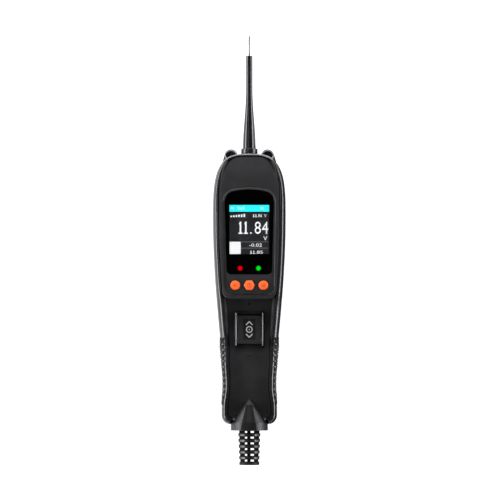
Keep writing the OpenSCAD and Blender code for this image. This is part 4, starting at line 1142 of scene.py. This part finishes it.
readings = bmesh.new()
for x, y, high, foot, stroke in (
    (-7.7, BIG_Y, 8.7, 2.9, 1.15), (-3.9, BIG_Y, 8.7, 2.9, 1.15),
    (2.5, SMALL_Y, 2.05, 1.25, 0.45), (4.1, SMALL_Y, 2.05, 1.25, 0.45),
    (0.5, LOW_Y, 2.2, 1.5, 0.45), (2.5, LOW_Y, 2.2, 1.5, 0.45),
):
    add_one(readings, x, y, high, foot, stroke)
for text, *corners in (
    (".", 0.5, BIG_Y, 1.8, 12.8), ("8", 3.8, BIG_Y, 8.2, BIG_TOP_Y), ("4", 8.9, BIG_Y, 13.4, BIG_TOP_Y),
    ("V", 9.9, 7.0, 12.8, 10.0), (".86", 5.7, SMALL_Y, 9.0, 25.6), ("V", 10.5, SMALL_Y, 12.2, 25.6),
    ("-0.02", 0.0, 2.5, 9.0, 4.8), (".85", 4.5, LOW_Y, 9.6, -0.3),
):
    add_text(readings, text, *corners, INK_Z, 0.04)
add_slab(readings, -14.0, -2.7, -6.1, 6.0, INK_Z, INK)
for step in range(6):
    x = -13.4 + step * 1.85
    add_slab(readings, x, SMALL_Y, x + 1.15, 24.5 + 0.25 * step, INK_Z, INK)
new_piece("screen_readings", readings, "lcd_screen", [WHITE_INK])

rules = bmesh.new()
for low_y, top_y in ((5.6, 6.25), (1.15, 1.8)):
    add_slab(rules, -5.8, low_y, 13.5, top_y, INK_Z, THIN_INK)
new_piece("screen_rules", rules, "lcd_screen", [GREY_INK])

# %% [markdown]
# ## The buttons
#
# Three silicone caps stand out of the panel: two round ones and a hexagon. A flange under the panel keeps each
# in, and a stem presses its key switch. Each is a filled circle, extruded and bevelled, which keeps its width
# exact where a subdivided shape would shrink.

# %% Button caps
BUTTON_Y, BUTTON_GAP, CAP_TOP, CAP_LOW = -24.9, 10.0, 38.45, 35.1
FLANGE_R, FLANGE_THICK, STEM_R, STEM_LONG = 4.6, 1.1, 1.5, 1.5


def grow_up(bm, faces, height):
    """Extrudes faces and moves the new ones up or down."""
    made = bmesh.ops.extrude_face_region(bm, geom=faces)["geom"]
    move(bm, points_in(made), (0, 0, height))


def button_cap(name, index, sides, radius, soft):
    bm = bmesh.new()
    bmesh.ops.create_circle(bm, cap_ends=True, segments=sides, radius=radius)
    rotate(bm, bm.verts, turn_about("Z", 90))
    grow_up(bm, bm.faces[:], CAP_TOP - CAP_LOW)
    if sides < 12:
        bevel_some(bm, [e for e in bm.edges if abs(e.verts[0].co.z - e.verts[1].co.z) > 1], 0.35)
    bevel_some(bm, edges_over(bm, CAP_TOP - CAP_LOW - 0.01), soft, 4)
    flange = bmesh.ops.create_circle(bm, cap_ends=True, segments=48, radius=FLANGE_R)["verts"]
    grow_up(bm, list(flange[0].link_faces), -FLANGE_THICK)
    stem = cylinder(bm, 24, STEM_R, STEM_LONG)
    move(bm, stem, (0, 0, -0.85))
    move(bm, bm.verts, (index * BUTTON_GAP, BUTTON_Y, CAP_LOW))
    new_piece(name + "_cap", bm, "button_orange", body=name, stands_for=[name])


button_cap("button_left", -1, 48, 3.35, 0.8)
button_cap("button_centre", 0, 6, 3.9, 0.6)
button_cap("button_right", 1, 48, 3.35, 0.8)

# %% [markdown]
# Each symbol is a shallow mark in the same rubber. Pressed into the cap it would cut the top into many faces,
# so it is a thin shape laid on.

# %% Symbols on the caps
SYMBOL_THICK = 0.04
DEEP_ORANGE = finish("deep_orange", (0.6, 0.05, 0.01), (0.66, 0.06, 0.014), (0.5, 0.6), 0.3, 0.006)
SYMBOLS = {  # flat bars of each symbol: x, y, length, width, turn
    "button_left": ((0.3, 0, 2.6, 0.5, 0), (-0.65, 0.45, 1.5, 0.5, 45), (-0.65, -0.45, 1.5, 0.5, -45)),
    "button_centre": ((0, 1.0, 0.5, 1.6, 0),),
    "button_right": ((0, -0.9, 2.6, 0.45, 0), (0, 0, 2.6, 0.45, 0), (0, 0.9, 2.6, 0.45, 0)),
}
for index, (name, bars) in enumerate(SYMBOLS.items()):
    symbol = bmesh.new()
    if name == "button_centre":
        flat_ring(symbol, 0, -0.1, 1.5, 1.05)
    for measures in bars:
        flat_bar(symbol, *measures)
    low = thicken(symbol, SYMBOL_THICK)
    move(symbol, symbol.verts, ((index - 1) * BUTTON_GAP, BUTTON_Y, CAP_TOP + 0.005 - low))
    new_piece(name + "_symbol", symbol, "button_orange", [DEEP_ORANGE], body=name)
